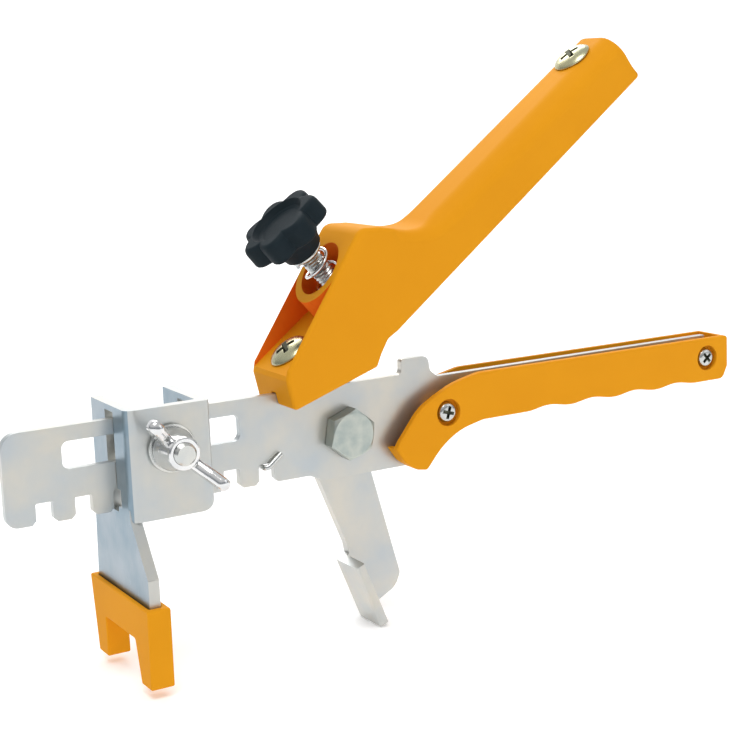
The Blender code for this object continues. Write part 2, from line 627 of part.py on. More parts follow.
def handle_body(parent, steps=4):
    """The moulding: its outline between two flat sides that draw together towards the tip."""
    outline = handle_outline()
    centre_angle = radians(GRIP_ANGLE)
    down = Vector((sin(centre_angle), -cos(centre_angle)))
    inward = []
    for i, point in enumerate(outline):
        here = Vector(point)
        before = (here - Vector(outline[i - 1])).normalized()
        after = (Vector(outline[(i + 1) % len(outline)]) - here).normalized()
        heading = (before + after).normalized()
        normal = Vector((-heading.y, heading.x))
        on_grip = height_of(point) > UPPER_GRIP_HEIGHT - 2.0 and edge_radius(point) > GRIP_EDGE - 0.1
        inward.append(down if on_grip else normal)

    def ring(sign, quarter):
        points = []
        for point, direction in zip(outline, inward):
            radius = edge_radius(point)
            x, z = Vector(point) + direction * radius * (1.0 - sin(quarter))
            out = (x - GRIP_START[0]) * cos(centre_angle) + (z - GRIP_START[1]) * sin(centre_angle)
            share = (out + 43.0) / (UPPER_GRIP_LENGTH + 43.0)
            half = NOSE_HALF_WIDTH + (TIP_HALF_WIDTH - NOSE_HALF_WIDTH) * share
            points.append((x, MIDDLE_Y + sign * (half - radius * (1.0 - cos(quarter))), z))
        return points

    quarters = [pi / 2 * k / steps for k in range(steps + 1)]
    rings = [ring(-1.0, q) for q in quarters] + [ring(1.0, q) for q in reversed(quarters)]
    return loft(rings, "upper_handle", PLASTIC, parent)


def upper_handle(parent):
    front, back = MIDDLE_Y - NOSE_HALF_WIDTH, MIDDLE_Y + NOSE_HALF_WIDTH
    handle = handle_body(parent)
    level = UPPER_GRIP_HEIGHT - GRIP_WALL
    tip = UPPER_GRIP_LENGTH - 4.5
    grip_room = rounded([(*grip_point(-13.5, -30.0), 0.0), (*grip_point(tip, -30.0), 0.0),
                         (*grip_point(tip, level), 2.0), (*grip_point(-13.5, level), 0.0)])
    cut(handle, prism("handle_grip_room", grip_room, MIDDLE_Y - CAVITY_HALF_WIDTH, MIDDLE_Y + CAVITY_HALF_WIDTH,
                      TOOLING, parent))
    nose_room = [grip_point(STRAP_START - 0.8, level + 0.01), grip_point(STRAP_START - 0.8, 4.0),
                 grip_point(STRAP_START - 0.8, -30.0), grip_point(6.0, -30.0), grip_point(6.0, level + 0.01)]
    cut(handle, prism("handle_nose_room", nose_room, strap_front() - GAP, LEVER_BACK + GAP, TOOLING, parent))
    ceiling = PLATE_TOP + 0.5
    plate_way = [(-40.0, ceiling), (-40.0, -5.0), (12.0, -5.0), (12.0, ceiling)]
    cut(handle, prism("handle_plate_slot", plate_way, -0.4, PLATE_BACK + 0.4, TOOLING, parent))
    floor = level + NOSE_FLOOR
    pocket = prism("handle_pocket", [grip_point(-48.0, floor), grip_point(-8.0, floor), grip_point(-8.0, 45.0),
                                     grip_point(-48.0, 45.0)], front + POCKET_RIM, back - POCKET_RIM, TOOLING, parent)
    boss_foot, boss_axis = knob_line(-30.0)
    cut(pocket, rod_cutter("handle_boss", boss_foot, boss_axis, BOSS_OUTSIDE / 2, 60.0, parent))
    cut(handle, pocket)
    for name, place, axis in handle_screws():
        cut(handle, rod_cutter(f"handle_{name}_hole", place, axis, HANDLE_SCREW / 2 + GAP, 40.0, parent, sides=20))
    seat, knob_axis = knob_line(-BOSS_DEPTH)
    cut(handle, rod_cutter("handle_boss_hole", seat, knob_axis, BOSS_HOLE / 2, 30.0, parent))
    through, _ = knob_line(-28.0)
    cut(handle, rod_cutter("handle_stud_hole", through, knob_axis, KNOB_STUD / 2 + GAP, 40.0, parent))


def handle_fasteners(parent):
    """The two truss-head screws that hold the moulding to the folded web, and their nuts."""
    flats, thickness = HANDLE_NUT, 5.0
    low, high = strap_heights()
    surfaces = {"nose": high + GAP + NOSE_FLOOR, "end": UPPER_GRIP_HEIGHT}
    for name, place, axis in handle_screws():
        up = Vector(axis)
        surface = Vector(place) + up * surfaces[name]
        under_web = surfaces[name] - low + GAP
        head = HANDLE_HEAD / 2
        profile = [(0.0, -under_web - thickness - 1.0), (HANDLE_SCREW / 2, -under_web - thickness - 1.0),
                   (HANDLE_SCREW / 2, GAP), (head, GAP), (head * 0.96, 1.1), (head * 0.7, 2.2), (head * 0.35, 2.75),
                   (0.0, 2.8)]
        turned(f"{name}_screw", profile, surface, axis, PASSIVATED, parent, sides=24)
        side = Vector((0.0, 1.0, 0.0))
        other = up.cross(side)
        rings = []
        for height in (-under_web - thickness, -under_web):
            ring = []
            for k in range(6):
                angle = 2 * pi * k / 6
                ring.append(surface + up * height + (side * cos(angle) + other * sin(angle)) * flats / cos(pi / 6) / 2)
            rings.append(ring)
        nut = loft(rings, f"{name}_nut", STEEL, parent)
        cut(nut, rod_cutter(f"{name}_nut_bore", surface - up * 30.0, axis, HANDLE_SCREW / 2 + 0.1, 40.0, parent,
                            sides=24))


# ---------------------------------------------------------------- adjusting knob
def knob_pieces(lever):
    carriage = empty("knob_carriage_axis", knob_line(0.0)[0], lever)
    spin = empty("knob_spin_axis", knob_line(0.0)[0], carriage)
    seat, axis = knob_line(0.0)
    seat, up = Vector(seat), Vector(axis)
    stud = KNOB_STUD / 2
    washer_bottom = KNOB_UNDERSIDE - 1.5
    washer("knob_washer", seat + up * washer_bottom, axis, stud + GAP, stud + 2.5, 0.9, STEEL, carriage)

    side = Vector((0.0, 1.0, 0.0))
    other = up.cross(side)
    steps = KNOB_LOBES * 12

    def star(height, scale):
        ring = []
        for k in range(steps):
            angle = 2 * pi * k / steps
            lobe = 0.5 + 0.5 * cos(KNOB_LOBES * (angle - radians(KNOB_TURN)))
            radius = scale * KNOB_RADIUS * (0.80 + 0.20 * lobe ** 0.6)
            ring.append(seat + up * height + (side * cos(angle) + other * sin(angle)) * radius)
        return ring

    knob = loft([star(KNOB_SKIRT, 0.97), star(KNOB_SKIRT + 1.0, 1.0), star(KNOB_TOP - 1.2, 1.0),
                 star(KNOB_TOP, 0.94)], "star_knob", PHENOLIC, spin)
    hub = [(0.0, KNOB_UNDERSIDE), (7.6, KNOB_UNDERSIDE), (10.4, KNOB_SKIRT - 2.0), (11.4, KNOB_SKIRT + 2.0),
           (0.0, KNOB_SKIRT + 2.0)]
    join(knob, turned("knob_hub", hub, seat, axis, TOOLING, spin))
    dish = [(0.0, KNOB_TOP - 2.6), (8.6, KNOB_TOP - 2.6), (10.8, KNOB_TOP + 1.0), (0.0, KNOB_TOP + 1.0)]
    cut(knob, turned("knob_dish", dish, seat, axis, TOOLING, spin))
    blind = KNOB_SKIRT + 3.0
    cut(knob, rod_cutter("knob_blind_hole", seat, axis, stud + GAP, blind, spin))
    tip = 1.0
    profile = [(0.0, -STUD_REACH), (stud - tip, -STUD_REACH), (stud, tip - STUD_REACH), (stud, blind - GAP),
               (0.0, blind - GAP)]
    turned("knob_stud", profile, seat, axis, STEEL, spin)

    nut_top = stud_nut_top()
    rings = []
    for height in (nut_top - 6.0, nut_top):
        corners = [2 * pi * k / 6 for k in range(6)]
        corner = STUD_NUT / cos(pi / 6) / 2
        rings.append([seat + up * height + (side * cos(a) + other * sin(a)) * corner for a in corners])
    nut = loft(rings, "stud_nut", STEEL, lever)
    cut(nut, rod_cutter("stud_nut_bore", seat + up * (nut_top - 8.0), axis, stud + 0.1, 12.0, lever))

    wire_size = 1.5
    mean = stud + 1.0 + wire_size / 2
    low = GAP + wire_size / 2 - BOSS_DEPTH
    high = washer_bottom - GAP - wire_size / 2
    turns, per_turn = 2.25, 14
    path = []
    for k in range(int(turns * per_turn) + 1):
        share = k / int(turns * per_turn)
        angle = 2 * pi * k / per_turn
        ring_place = seat + up * (low + (high - low) * share)
        path.append(ring_place + (side * cos(angle) + other * sin(angle)) * mean)
    wire("knob_spring", path, wire_size, STEEL, lever, sides=6)


# ---------------------------------------------------------------- clamping bracket
def bracket_places():
    left = -BRACKET_CENTRE - BRACKET_WIDTH / 2
    return left, left + BRACKET_WIDTH


def bracket(parent):
    left, right = bracket_places()
    wall = BRACKET_WALL
    bend = 3.6
    plan = rounded([
        (left, BRACKET_BACK, 0.0), (left, BRACKET_FRONT, bend), (right, BRACKET_FRONT, 1.4), (right, BRACKET_BACK, 0.0),
        (right - wall, BRACKET_BACK, 0.0), (right - wall, BRACKET_FRONT + wall, 0.8),
        (left + wall, BRACKET_FRONT + wall, 0.8), (left + wall, BRACKET_BACK, 0.0),
    ])
    body = loft([[(x, y, z) for x, y in plan] for z in (BRACKET_BOTTOM, BRACKET_TOP)], "bracket", STEEL, parent)
    profile = rounded([
        (-12.4 + 2.0, -12.0, 0.0), (BRACKET_BACK + 2.6, -12.0, 0.0), (BRACKET_BACK + 4.6, SHOE_TOP, 0.0),
        (BRACKET_BACK + 4.6, LEG_BOTTOM, 2.0), (-23.6, LEG_BOTTOM, 2.0), (-23.6, -33.8, 1.0), (-10.8, -15.6, 0.0),
    ])
    leg = loft([[(x, y, z) for y, z in profile] for x in (left, left + wall)], "bracket_leg", TOOLING, parent)
    join(body, leg)
    clear = 0.4
    window_low = PLATE_BOTTOM - clear
    window_high = PLATE_TOP + 2.3
    opening = [(-clear, window_low), (PLATE_BACK + 4.4, window_low), (PLATE_BACK + 4.4, window_high),
               (-clear, window_high)]
    cut(body, loft([[(x, y, z) for y, z in opening] for x in (left - 2.0, right + 2.0)], "bracket_window", TOOLING,
                   parent))
    slit = [(-3.4, window_low + 2.0), (0.6, window_low + 2.0), (0.6, -6.2), (-3.4, -6.2)]
    cut(body, loft([[(x, y, z) for y, z in slit] for x in (left - 2.0, left + wall + 2.0)], "bracket_slit", TOOLING,
                   parent))
    corner = 5.0
    arc = [radians(-90.0 + 15.0 * k) for k in range(7)]
    bend_centre = (right - corner, BRACKET_BOTTOM + corner)
    trim = [(bend_centre[0] + corner * cos(a), bend_centre[1] + corner * sin(a)) for a in arc]
    trim += [(right + 1.0, BRACKET_BOTTOM + corner), (right + 1.0, BRACKET_BOTTOM - 1.0),
             (right - corner, BRACKET_BOTTOM - 1.0)]
    cut(body, prism("bracket_corner", trim, BRACKET_FRONT - 1.0, BRACKET_FRONT + wall + 0.9, TOOLING, parent))
    cut(body, rod_cutter("bracket_hole", (-BRACKET_CENTRE, BRACKET_FRONT - 1.0, SLOT_HEIGHT_CENTRE), (0, 1, 0),
                         CLAMP_BOLT / 2 + GAP, wall + 2.0, parent))


def fork_shoe(parent):
    """The plastic fork that straddles a tile clip and is pushed onto the bracket's leg."""
    left, _ = bracket_places()
    middle = left + BRACKET_WALL / 2
    faces = (middle - SHOE_DEPTH / 2, middle + SHOE_DEPTH / 2)
    profile = rounded([
        (-27.0, SHOE_TOP, 1.0), (-26.4, SHOE_BOTTOM, 0.8), (-17.4, SHOE_BOTTOM, 0.8), (-13.4, FORK_TOP, 0.8),
        (14.6, FORK_TOP, 0.8), (14.5, SHOE_BOTTOM, 0.8), (23.6, SHOE_BOTTOM, 0.8), (28.0, SHOE_TOP, 1.0),
    ])
    shoe = loft([[(x, y, z) for y, z in profile] for x in faces], "fork_shoe", PLASTIC, parent)
    near, far = -23.6 - GAP, BRACKET_BACK + 4.6 + GAP
    pocket = [(near, LEG_BOTTOM - GAP), (far, LEG_BOTTOM - GAP), (far, SHOE_TOP + 2.0), (near, SHOE_TOP + 2.0)]
    half = BRACKET_WALL / 2 + GAP
    cutter = loft([[(x, y, z) for y, z in pocket] for x in (middle - half, middle + half)], "shoe_pocket", TOOLING,
                  parent)
    cut(shoe, cutter)


def clamp_pieces(parent):
    centre_x, centre_z = -BRACKET_CENTRE, SLOT_HEIGHT_CENTRE
    radius = CLAMP_BOLT / 2
    plate_washer = PLATE_BACK + GAP
    head = plate_washer + 1.6 + GAP
    inner_face = BRACKET_FRONT + BRACKET_WALL
    washer("clamp_washer", (centre_x, plate_washer, centre_z), (0, 1, 0), radius + GAP, 9.4, 1.6, STEEL, parent)
    washer("clamp_sleeve", (centre_x, inner_face + GAP, centre_z), (0, 1, 0), radius + GAP, 7.0,
           -GAP - (inner_face + GAP), STEEL, parent)
    profile = [(0.0, CLAMP_END - head), (radius - 0.8, CLAMP_END - head), (radius, CLAMP_END - head + 0.8),
               (radius, 0.0), (8.4, 0.0), (8.4, 1.6), (6.8, 3.4), (4.0, 4.4), (0.0, 4.7)]
    turned("clamp_bolt", profile, (centre_x, head, centre_z), (0, 1, 0), STEEL, parent)
    carriage = empty("wing_carriage_axis", (centre_x, BRACKET_FRONT, centre_z), parent)
    spin = empty("wing_spin_axis", (centre_x, BRACKET_FRONT, centre_z), carriage)
    base = BRACKET_FRONT - GAP
    washer("wing_washer", (centre_x, base, centre_z), (0, -1, 0), radius + GAP, 8.6, 1.5, STEEL, carriage)
    nut_base = base - 1.5 - GAP
    body = [(radius + 0.1, 0.0), (7.6, 0.0), (7.6, 2.0), (6.0, 9.6), (5.4, 10.4), (radius + 0.1, 10.4)]
    nut = turned("wing_nut", body, (centre_x, nut_base, centre_z), (0, -1, 0), STEEL, spin)
    tilt, reach = -45.0, 19.0
    wings = []
    for sign in (-1.0, 1.0):
        blade = [(5.2 * sign, 1.4), (5.2 * sign, 8.6), (11.0 * sign, 14.2), (reach * sign * 0.96, 17.4),
                 (reach * sign, 14.4), (reach * sign * 0.93, 10.6), (12.6 * sign, 7.0), (8.0 * sign, 2.6)]
        rings = []
        for thick in (-2.2, 2.2):
            ring = []
            for out, rise in blade:
                x, z = offset((centre_x, centre_z), tilt, out, thick)
                ring.append((x, nut_base - rise, z))
            rings.append(ring)
        wings.append(loft(rings, f"wing_{'left' if sign < 0 else 'right'}", TOOLING, spin))
    join(nut, *wings)


# ---------------------------------------------------------------- assembly
def centre_on_origin():
    """Moves the whole tool so that the middle of its bounding box is the world origin."""
    bpy.context.view_layer.update()
    graph = bpy.context.evaluated_depsgraph_get()
    lowest, highest = Vector((1e9,) * 3), Vector((-1e9,) * 3)
    for piece in bpy.context.collection.objects:
        if piece.type != "MESH" or piece.hide_render:
            continue
        shape = piece.evaluated_get(graph)
        for vertex in shape.data.vertices:
            place = shape.matrix_world @ vertex.co
            lowest = Vector(map(min, lowest, place))
            highest = Vector(map(max, highest, place))
    tool.location = -(lowest + highest) / 2
    bpy.context.view_layer.update()


def build():
    global tool
    for old in list(bpy.data.objects):
        bpy.data.objects.remove(old, do_unlink=True)
    tool = bpy.data.objects.new("tool_origin", None)
    bpy.context.collection.objects.link(tool)
    main_plate()
    lower_grip()
    pivot_hardware()
    return_spring()
    lever = empty("lever_axis", (0.0, 0.0, 0.0))
    lever_plate(lever)
    upper_handle(lever)
    handle_fasteners(lever)
    knob_pieces(lever)
    sliding = empty("bracket_axis", (-BRACKET_CENTRE, 0.0, SLOT_HEIGHT_CENTRE))
    bracket(sliding)
    fork_shoe(sliding)
    clamp_pieces(sliding)
    centre_on_origin()


build()
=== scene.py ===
"""The looks of the tile levelling pliers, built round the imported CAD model.

Shapes are modelled in millimetres in the tool's own frame: origin on the pivot axis at the front face
of the main plate, +X towards the grips, +Y away from the front, +Z up.
"""

import json
from math import atan2, ceil, cos, hypot, pi, radians, sin, tan

import bmesh
import bpy
from mathutils import Matrix, Vector


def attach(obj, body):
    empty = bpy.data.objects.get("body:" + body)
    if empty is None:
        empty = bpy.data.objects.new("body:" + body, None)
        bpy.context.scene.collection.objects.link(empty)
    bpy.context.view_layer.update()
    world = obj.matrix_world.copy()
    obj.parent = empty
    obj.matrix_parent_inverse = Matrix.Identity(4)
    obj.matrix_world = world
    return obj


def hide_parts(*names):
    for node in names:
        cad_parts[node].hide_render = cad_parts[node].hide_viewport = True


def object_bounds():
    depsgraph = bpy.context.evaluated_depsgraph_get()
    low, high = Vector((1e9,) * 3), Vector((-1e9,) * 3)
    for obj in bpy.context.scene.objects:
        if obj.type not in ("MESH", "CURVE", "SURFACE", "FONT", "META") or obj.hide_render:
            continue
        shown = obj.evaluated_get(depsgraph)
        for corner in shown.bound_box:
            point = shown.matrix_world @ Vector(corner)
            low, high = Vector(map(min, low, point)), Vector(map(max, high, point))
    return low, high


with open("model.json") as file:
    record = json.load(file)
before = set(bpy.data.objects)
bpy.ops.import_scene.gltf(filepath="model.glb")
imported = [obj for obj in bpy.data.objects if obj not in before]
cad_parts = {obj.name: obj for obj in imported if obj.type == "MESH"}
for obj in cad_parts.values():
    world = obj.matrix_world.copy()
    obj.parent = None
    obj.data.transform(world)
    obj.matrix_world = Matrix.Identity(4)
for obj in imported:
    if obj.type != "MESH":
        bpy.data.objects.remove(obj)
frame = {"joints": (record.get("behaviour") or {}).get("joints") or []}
CAD_BOX = [list(corner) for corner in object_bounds()]
PIVOT = Vector(next(j["pos_m"] for j in frame["joints"] if j["name"] == "lever_pivot"))

MM = 0.001
GAP = 0.3
FINE = 64                    # sides of a turned piece
ARC_STEP = 6.0               # degrees between points on a rounded corner
LARGE_FACE = 6e-5            # square metres: a flat face this large is shaded flat

# ---------------------------------------------------------------- sizes shared with the CAD, mm
PLATE_BACK = 3.0
PLATE_TOP, PLATE_BOTTOM, HEEL_BOTTOM = 18.6, -14.2, -16.9
FRONT_REACH = 131.2
MIDDLE_Y = 1.5
LEVER_FRONT, LEVER_BACK = 3.3, 7.3
GRIP_END, GRIP_TOP, GRIP_BOTTOM = 182.0, 16.0, -2.3
SHELL_FRONT, SHELL_BACK, SHELL_WALL = -7.5, 10.5, 2.6
SHELL_SCREWS = ((41.0, 2.8), (170.5, 7.7))
GRIP_ANGLE, NOSE_ANGLE, KNOB_ANGLE = 37.35, 57.0, 131.0
GRIP_START = (17.4, 38.0)
NOSE_CORNER = (-29.2, 28.7)
GRIP_LENGTH, GRIP_HEIGHT = 146.3, 20.8
NOSE_HALF, TIP_HALF = 14.6, 12.8
STRAP_LOW, STRAP_HIGH = 12.9, 16.9
POCKET_FLOOR = 19.7
BRACKET_LEFT, BRACKET_RIGHT = -91.3, -59.9
BRACKET_FRONT, BRACKET_BACK, BRACKET_WALL = -12.5, 20.6, 4.0
CLAMP_X, CLAMP_Z = -75.6, 8.3
FOOT_TOP, FOOT_ANGLE, FOOT_LENGTH = (-3.9, -50.0), -69.0, 26.2
PIVOT_FLATS = 17.0
HANDLE_SCREWS = (("nose", -33.8), ("end", 132.0))    # names and places along the upper grip
HANDLE_NUT = 10.0            # across flats
STRAP_START = -40.5
STRAP_AFTER_SCREW = 7.5
HANDLE_EDGE, GRIP_TOP_EDGE = 1.5, 8.0                # rim rounding on the nose and along the grip's top
KNOB_PLACE = 40.4            # up the nose face from its lower corner
STUD_NUT = 13.0              # across flats
SHELL_NUT = 7.0              # across flats
M8_PITCH, M8_DEPTH = 1.25, 0.55
BOLT_CLEARANCE = 4.3         # radius of the holes that the 8 mm stud and bolt pass through
LEVER_SPRING_HOLE = (-8.5, -13.6)


# ---------------------------------------------------------------- plain geometry
def along(point, degrees, distance):
    return (point[0] + distance * cos(radians(degrees)), point[1] + distance * sin(radians(degrees)))


def offset(point, degrees, forward, left):
    return along(along(point, degrees, forward), degrees + 90.0, left)


def grip_point(out, height):
    return offset(GRIP_START, GRIP_ANGLE, out, height)


def nose_point(up, depth):
    return offset(NOSE_CORNER, NOSE_ANGLE, up, -depth)


def knob_line(height):
    """A point on the knob's axis at this height over the nose face, and the axis."""
    place = along(nose_point(KNOB_PLACE, 0.0), KNOB_ANGLE, height)
    axis = Vector((cos(radians(KNOB_ANGLE)), 0.0, sin(radians(KNOB_ANGLE))))
    return Vector((place[0], MIDDLE_Y, place[1])), axis


def grip_up():
    """The direction square to the upper grip, away from the plate."""
    return Vector((-sin(radians(GRIP_ANGLE)), 0.0, cos(radians(GRIP_ANGLE))))


def hex_radius(flats):
    """The corner radius of a hexagon of this width across flats."""
    return flats / cos(pi / 6) / 2


def rounded(corners, step=ARC_STEP):
    """An outline of (x, z, radius) corners, with an arc at each corner whose radius isn't zero."""
    points = []
    count = len(corners)
    for i, (x, z, radius) in enumerate(corners):
        before = Vector(corners[i - 1][:2]) - Vector((x, z))
        after = Vector(corners[(i + 1) % count][:2]) - Vector((x, z))
        half = before.angle(after) / 2
        if radius <= 0.0 or half > radians(88.8):
            points.append((x, z))
            continue
        run = min(radius / tan(half), 0.48 * before.length, 0.48 * after.length)
        radius = run * tan(half)
        centre = Vector((x, z)) + (before.normalized() + after.normalized()).normalized() * (radius / sin(half))
        start = Vector((x, z)) + before.normalized() * run - centre
        end = Vector((x, z)) + after.normalized() * run - centre
        first = atan2(start.y, start.x)
        sweep = (atan2(end.y, end.x) - first + pi) % (2 * pi) - pi
        steps = max(2, ceil(abs(sweep) / radians(step)))
        for k in range(steps + 1):
            angle = first + sweep * k / steps
            points.append((centre.x + radius * cos(angle), centre.y + radius * sin(angle)))
    return points


def circle(centre, radius, sides=FINE, turn=0.0):
    steps = [radians(turn) + 2 * pi * k / sides for k in range(sides)]
    return [(centre[0] + radius * cos(a), centre[1] + radius * sin(a)) for a in steps]


# ---------------------------------------------------------------- meshes
def place_mesh(bm, name):
    """Turns a bmesh in tool millimetres into an object in the row frame."""
    bmesh.ops.remove_doubles(bm, verts=bm.verts, dist=1e-5)
    bmesh.ops.recalc_face_normals(bm, faces=bm.faces)
    bm.transform(Matrix.Translation(PIVOT) @ Matrix.Scale(MM, 4))
    mesh = bpy.data.meshes.new(name)
    bm.to_mesh(mesh)
    bm.free()
    piece = bpy.data.objects.new(name, mesh)
    bpy.context.scene.collection.objects.link(piece)
    return piece


def loft(rings, name, closed=False):
    bm = bmesh.new()
    loops = [[bm.verts.new(p) for p in ring] for ring in rings]
    pairs = list(zip(loops, loops[1:]))
    if closed:
        pairs.append((loops[-1], loops[0]))
    for a, b in pairs:
        for i in range(len(a)):
            j = (i + 1) % len(a)
            bm.faces.new((a[i], a[j], b[j], b[i]))
    if not closed:
        bm.faces.new(loops[0])
        bm.faces.new(loops[-1])
    return place_mesh(bm, name)


def prism(name, outline, front, back):
    return loft([[(x, y, z) for x, z in outline] for y in (front, back)], name)


def turned(name, profile, foot, axis, sides=FINE, turn=0.0):
    """A turned solid from (radius, height) points, lower centre to upper centre, or a closed ring."""
    up = Vector(axis).normalized()
    side = up.orthogonal().normalized()
    third = up.cross(side)
    bm = bmesh.new()
    rings = []
    for radius, height in profile:
        centre = Vector(foot) + up * height
        if radius < 1e-6:
            rings.append([bm.verts.new(centre)])
            continue
        steps = [turn + 2 * pi * k / sides for k in range(sides)]
        rings.append([bm.verts.new(centre + (side * cos(a) + third * sin(a)) * radius) for a in steps])
    pairs = list(zip(rings, rings[1:]))
    if len(rings[0]) > 1:
        pairs.append((rings[-1], rings[0]))
    for a, b in pairs:
        for i in range(sides):
            j = (i + 1) % sides
            corners = [a[i % len(a)], a[j % len(a)], b[j % len(b)], b[i % len(b)]]
            bm.faces.new(list(dict.fromkeys(corners)))
    return place_mesh(bm, name)


def rod(name, foot, axis, radius, length, sides=FINE):
    profile = [(0.0, 0.0), (radius, 0.0), (radius, length), (0.0, length)]
    return turned(name, profile, foot, axis, sides, turn=radius)


def wire(name, path, diameter, sides=16):
    points = [Vector(p) for p in path]
    side = (points[1] - points[0]).orthogonal().normalized()
    rings = []
    for i, point in enumerate(points):
        ahead = (points[min(i + 1, len(points) - 1)] - points[max(i - 1, 0)]).normalized()
        side = (side - ahead * side.dot(ahead)).normalized()
        other = ahead.cross(side)
        steps = [2 * pi * k / sides for k in range(sides)]
        rings.append([point + (side * cos(a) + other * sin(a)) * diameter / 2 for a in steps])
    return loft(rings, name)


def smooth_path(points, per_span=8):
    """A Catmull-Rom curve through the points."""
    points = [Vector(p) for p in points]
    path = []
    for i in range(len(points) - 1):
        p0, p1 = points[max(i - 1, 0)], points[i]
        p2, p3 = points[i + 1], points[min(i + 2, len(points) - 1)]
        for k in range(per_span):
            t = k / per_span
            path.append(0.5 * (2 * p1 + (p2 - p0) * t + (2 * p0 - 5 * p1 + 4 * p2 - p3) * t * t
                               + (3 * p1 - p0 - 3 * p2 + p3) * t * t * t))
    path.append(points[-1])
    return path


def bake(piece):
    graph = bpy.context.evaluated_depsgraph_get()
    mesh = bpy.data.meshes.new_from_object(piece.evaluated_get(graph))
    piece.modifiers.clear()
    piece.data = mesh


def carve(piece, *operands, operation="DIFFERENCE"):
    """Cuts, joins or crosses the piece with the operands, which are then removed."""
    for operand in operands:
        step = piece.modifiers.new(operand.name, "BOOLEAN")
        step.operation = operation
        step.object = operand
        step.solver = "EXACT"
    bake(piece)
    for operand in operands:
        bpy.data.objects.remove(operand, do_unlink=True)
    return piece


def unite(piece, *operands):
    return carve(piece, *operands, operation="UNION")


def soften(piece, width, segments=3, limit=28.0):
    """Rounds the sharp edges by width, in millimetres, and shades the piece smooth."""
    bm = bmesh.new()
    bm.from_mesh(piece.data)
    bmesh.ops.remove_doubles(bm, verts=bm.verts, dist=2e-6)
    bmesh.ops.dissolve_limit(bm, angle_limit=radians(0.6), verts=bm.verts, edges=bm.edges)
    bm.to_mesh(piece.data)
    bm.free()
    if width:
        edge = piece.modifiers.new("edge", "BEVEL")
        edge.width = width * MM
        edge.segments = segments
        edge.limit_method = "ANGLE"
        edge.angle_limit = radians(limit)
        edge.miter_outer = "MITER_ARC"
        edge.harden_normals = False
        bake(piece)
    piece.data.shade_smooth()
    piece.data.set_sharp_from_angle(angle=radians(32.0))
    for face in piece.data.polygons:
        if face.area > LARGE_FACE:
            face.use_smooth = False
    return piece


def show(piece, body, look, slot, *nodes, inner=None, gets_painted_shade=None):
    """Finishes a piece; inner is a second look, with painted shade, for the faces whose middle passes the face
    test given with it, in tool millimetres.
    """
    piece.data.materials.clear()
    piece.data.materials.append(look)
    if inner:
        piece.data.materials.append(inner)
        for face in piece.data.polygons:
            middle = (face.center - PIVOT) / MM
            face.material_index = 1 if gets_painted_shade(middle, face.normal) else 0
    weight = piece.modifiers.new("normals", "WEIGHTED_NORMAL")
    weight.keep_sharp = True
    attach(piece, body)
    if nodes:
        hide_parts(*nodes)
    return piece


def collar(node, foot, axis, inner, outer, height, body, edge=0.25):
    """A zinc washer or sleeve on a body; the axis runs from its foot."""
    profile = [(inner, 0), (outer, 0), (outer, height), (inner, height)]
    piece = turned(f"{node}_visual", profile, foot, axis)
    soften(piece, edge, 2)
    show(piece, body, ZINC_BRIGHT, "zinc_steel", node)


# ---------------------------------------------------------------- materials
def new_material(name):
    look = bpy.data.materials.new(name)
    look.use_nodes = True
    tree = look.node_tree
    return look, tree, tree.nodes["Principled BSDF"]


def noise(tree, scale, detail, stretch=(1.0, 1.0, 1.0)):
    where = tree.nodes.new("ShaderNodeTexCoord")
    sized = tree.nodes.new("ShaderNodeMapping")
    sized.inputs["Scale"].default_value = stretch
    field = tree.nodes.new("ShaderNodeTexNoise")
    field.inputs["Scale"].default_value = scale
    field.inputs["Detail"].default_value = detail
    tree.links.new(where.outputs["Object"], sized.inputs["Vector"])
    tree.links.new(sized.outputs["Vector"], field.inputs["Vector"])
    return field.outputs["Fac"]


def ramp(tree, source, stops):
    node = tree.nodes.new("ShaderNodeValToRGB")
    node.color_ramp.elements[0].position, node.color_ramp.elements[0].color = stops[0]
    node.color_ramp.elements[1].position, node.color_ramp.elements[1].color = stops[-1]
    for position, colour in stops[1:-1]:
        node.color_ramp.elements.new(position).color = colour
    tree.links.new(source, node.inputs["Fac"])
    return node.outputs["Color"]


def spread(tree, source, low, high, end="To"):
    """Maps the source from 0 to 1 onto low to high, or with end="From", from low to high onto 0 to 1."""
    node = tree.nodes.new("ShaderNodeMapRange")
    node.inputs[f"{end} Min"].default_value = low
    node.inputs[f"{end} Max"].default_value = high
    tree.links.new(source, node.inputs["Value"])
    return node.outputs["Result"]


def grain(tree, shader, source, strength, distance):
    bump = tree.nodes.new("ShaderNodeBump")
    bump.inputs["Strength"].default_value = strength
    bump.inputs["Distance"].default_value = distance
    tree.links.new(source, bump.inputs["Height"])
    tree.links.new(bump.outputs["Normal"], shader.inputs["Normal"])


def zinc(name, cool, warm, rough_low, rough_high, metallic=1.0, scale=55.0):
    look, tree, shader = new_material(name)
    clouds = noise(tree, scale, 3.0)
    tree.links.new(ramp(tree, clouds, [(0.32, cool), (0.68, warm)]), shader.inputs["Base Color"])
    shader.inputs["Metallic"].default_value = metallic
    fine = noise(tree, 900.0, 4.0, (1.0, 1.0, 0.25))
    tree.links.new(spread(tree, fine, rough_low, rough_high), shader.inputs["Roughness"])
    grain(tree, shader, fine, 0.12, 0.0002)
    return look


def plastic(name, colour, dark, roughness, bump=0.08, specular=0.07):
    look, tree, shader = new_material(name)
    broad = noise(tree, 30.0, 2.0)
    tree.links.new(ramp(tree, broad, [(0.3, dark), (0.7, colour)]), shader.inputs["Base Color"])
    shader.inputs["Roughness"].default_value = roughness
    shader.inputs["Specular IOR Level"].default_value = specular
    shader.inputs["Subsurface Weight"].default_value = 0.0
    grain(tree, shader, noise(tree, 1800.0, 2.0), bump, 0.0002)
    return look


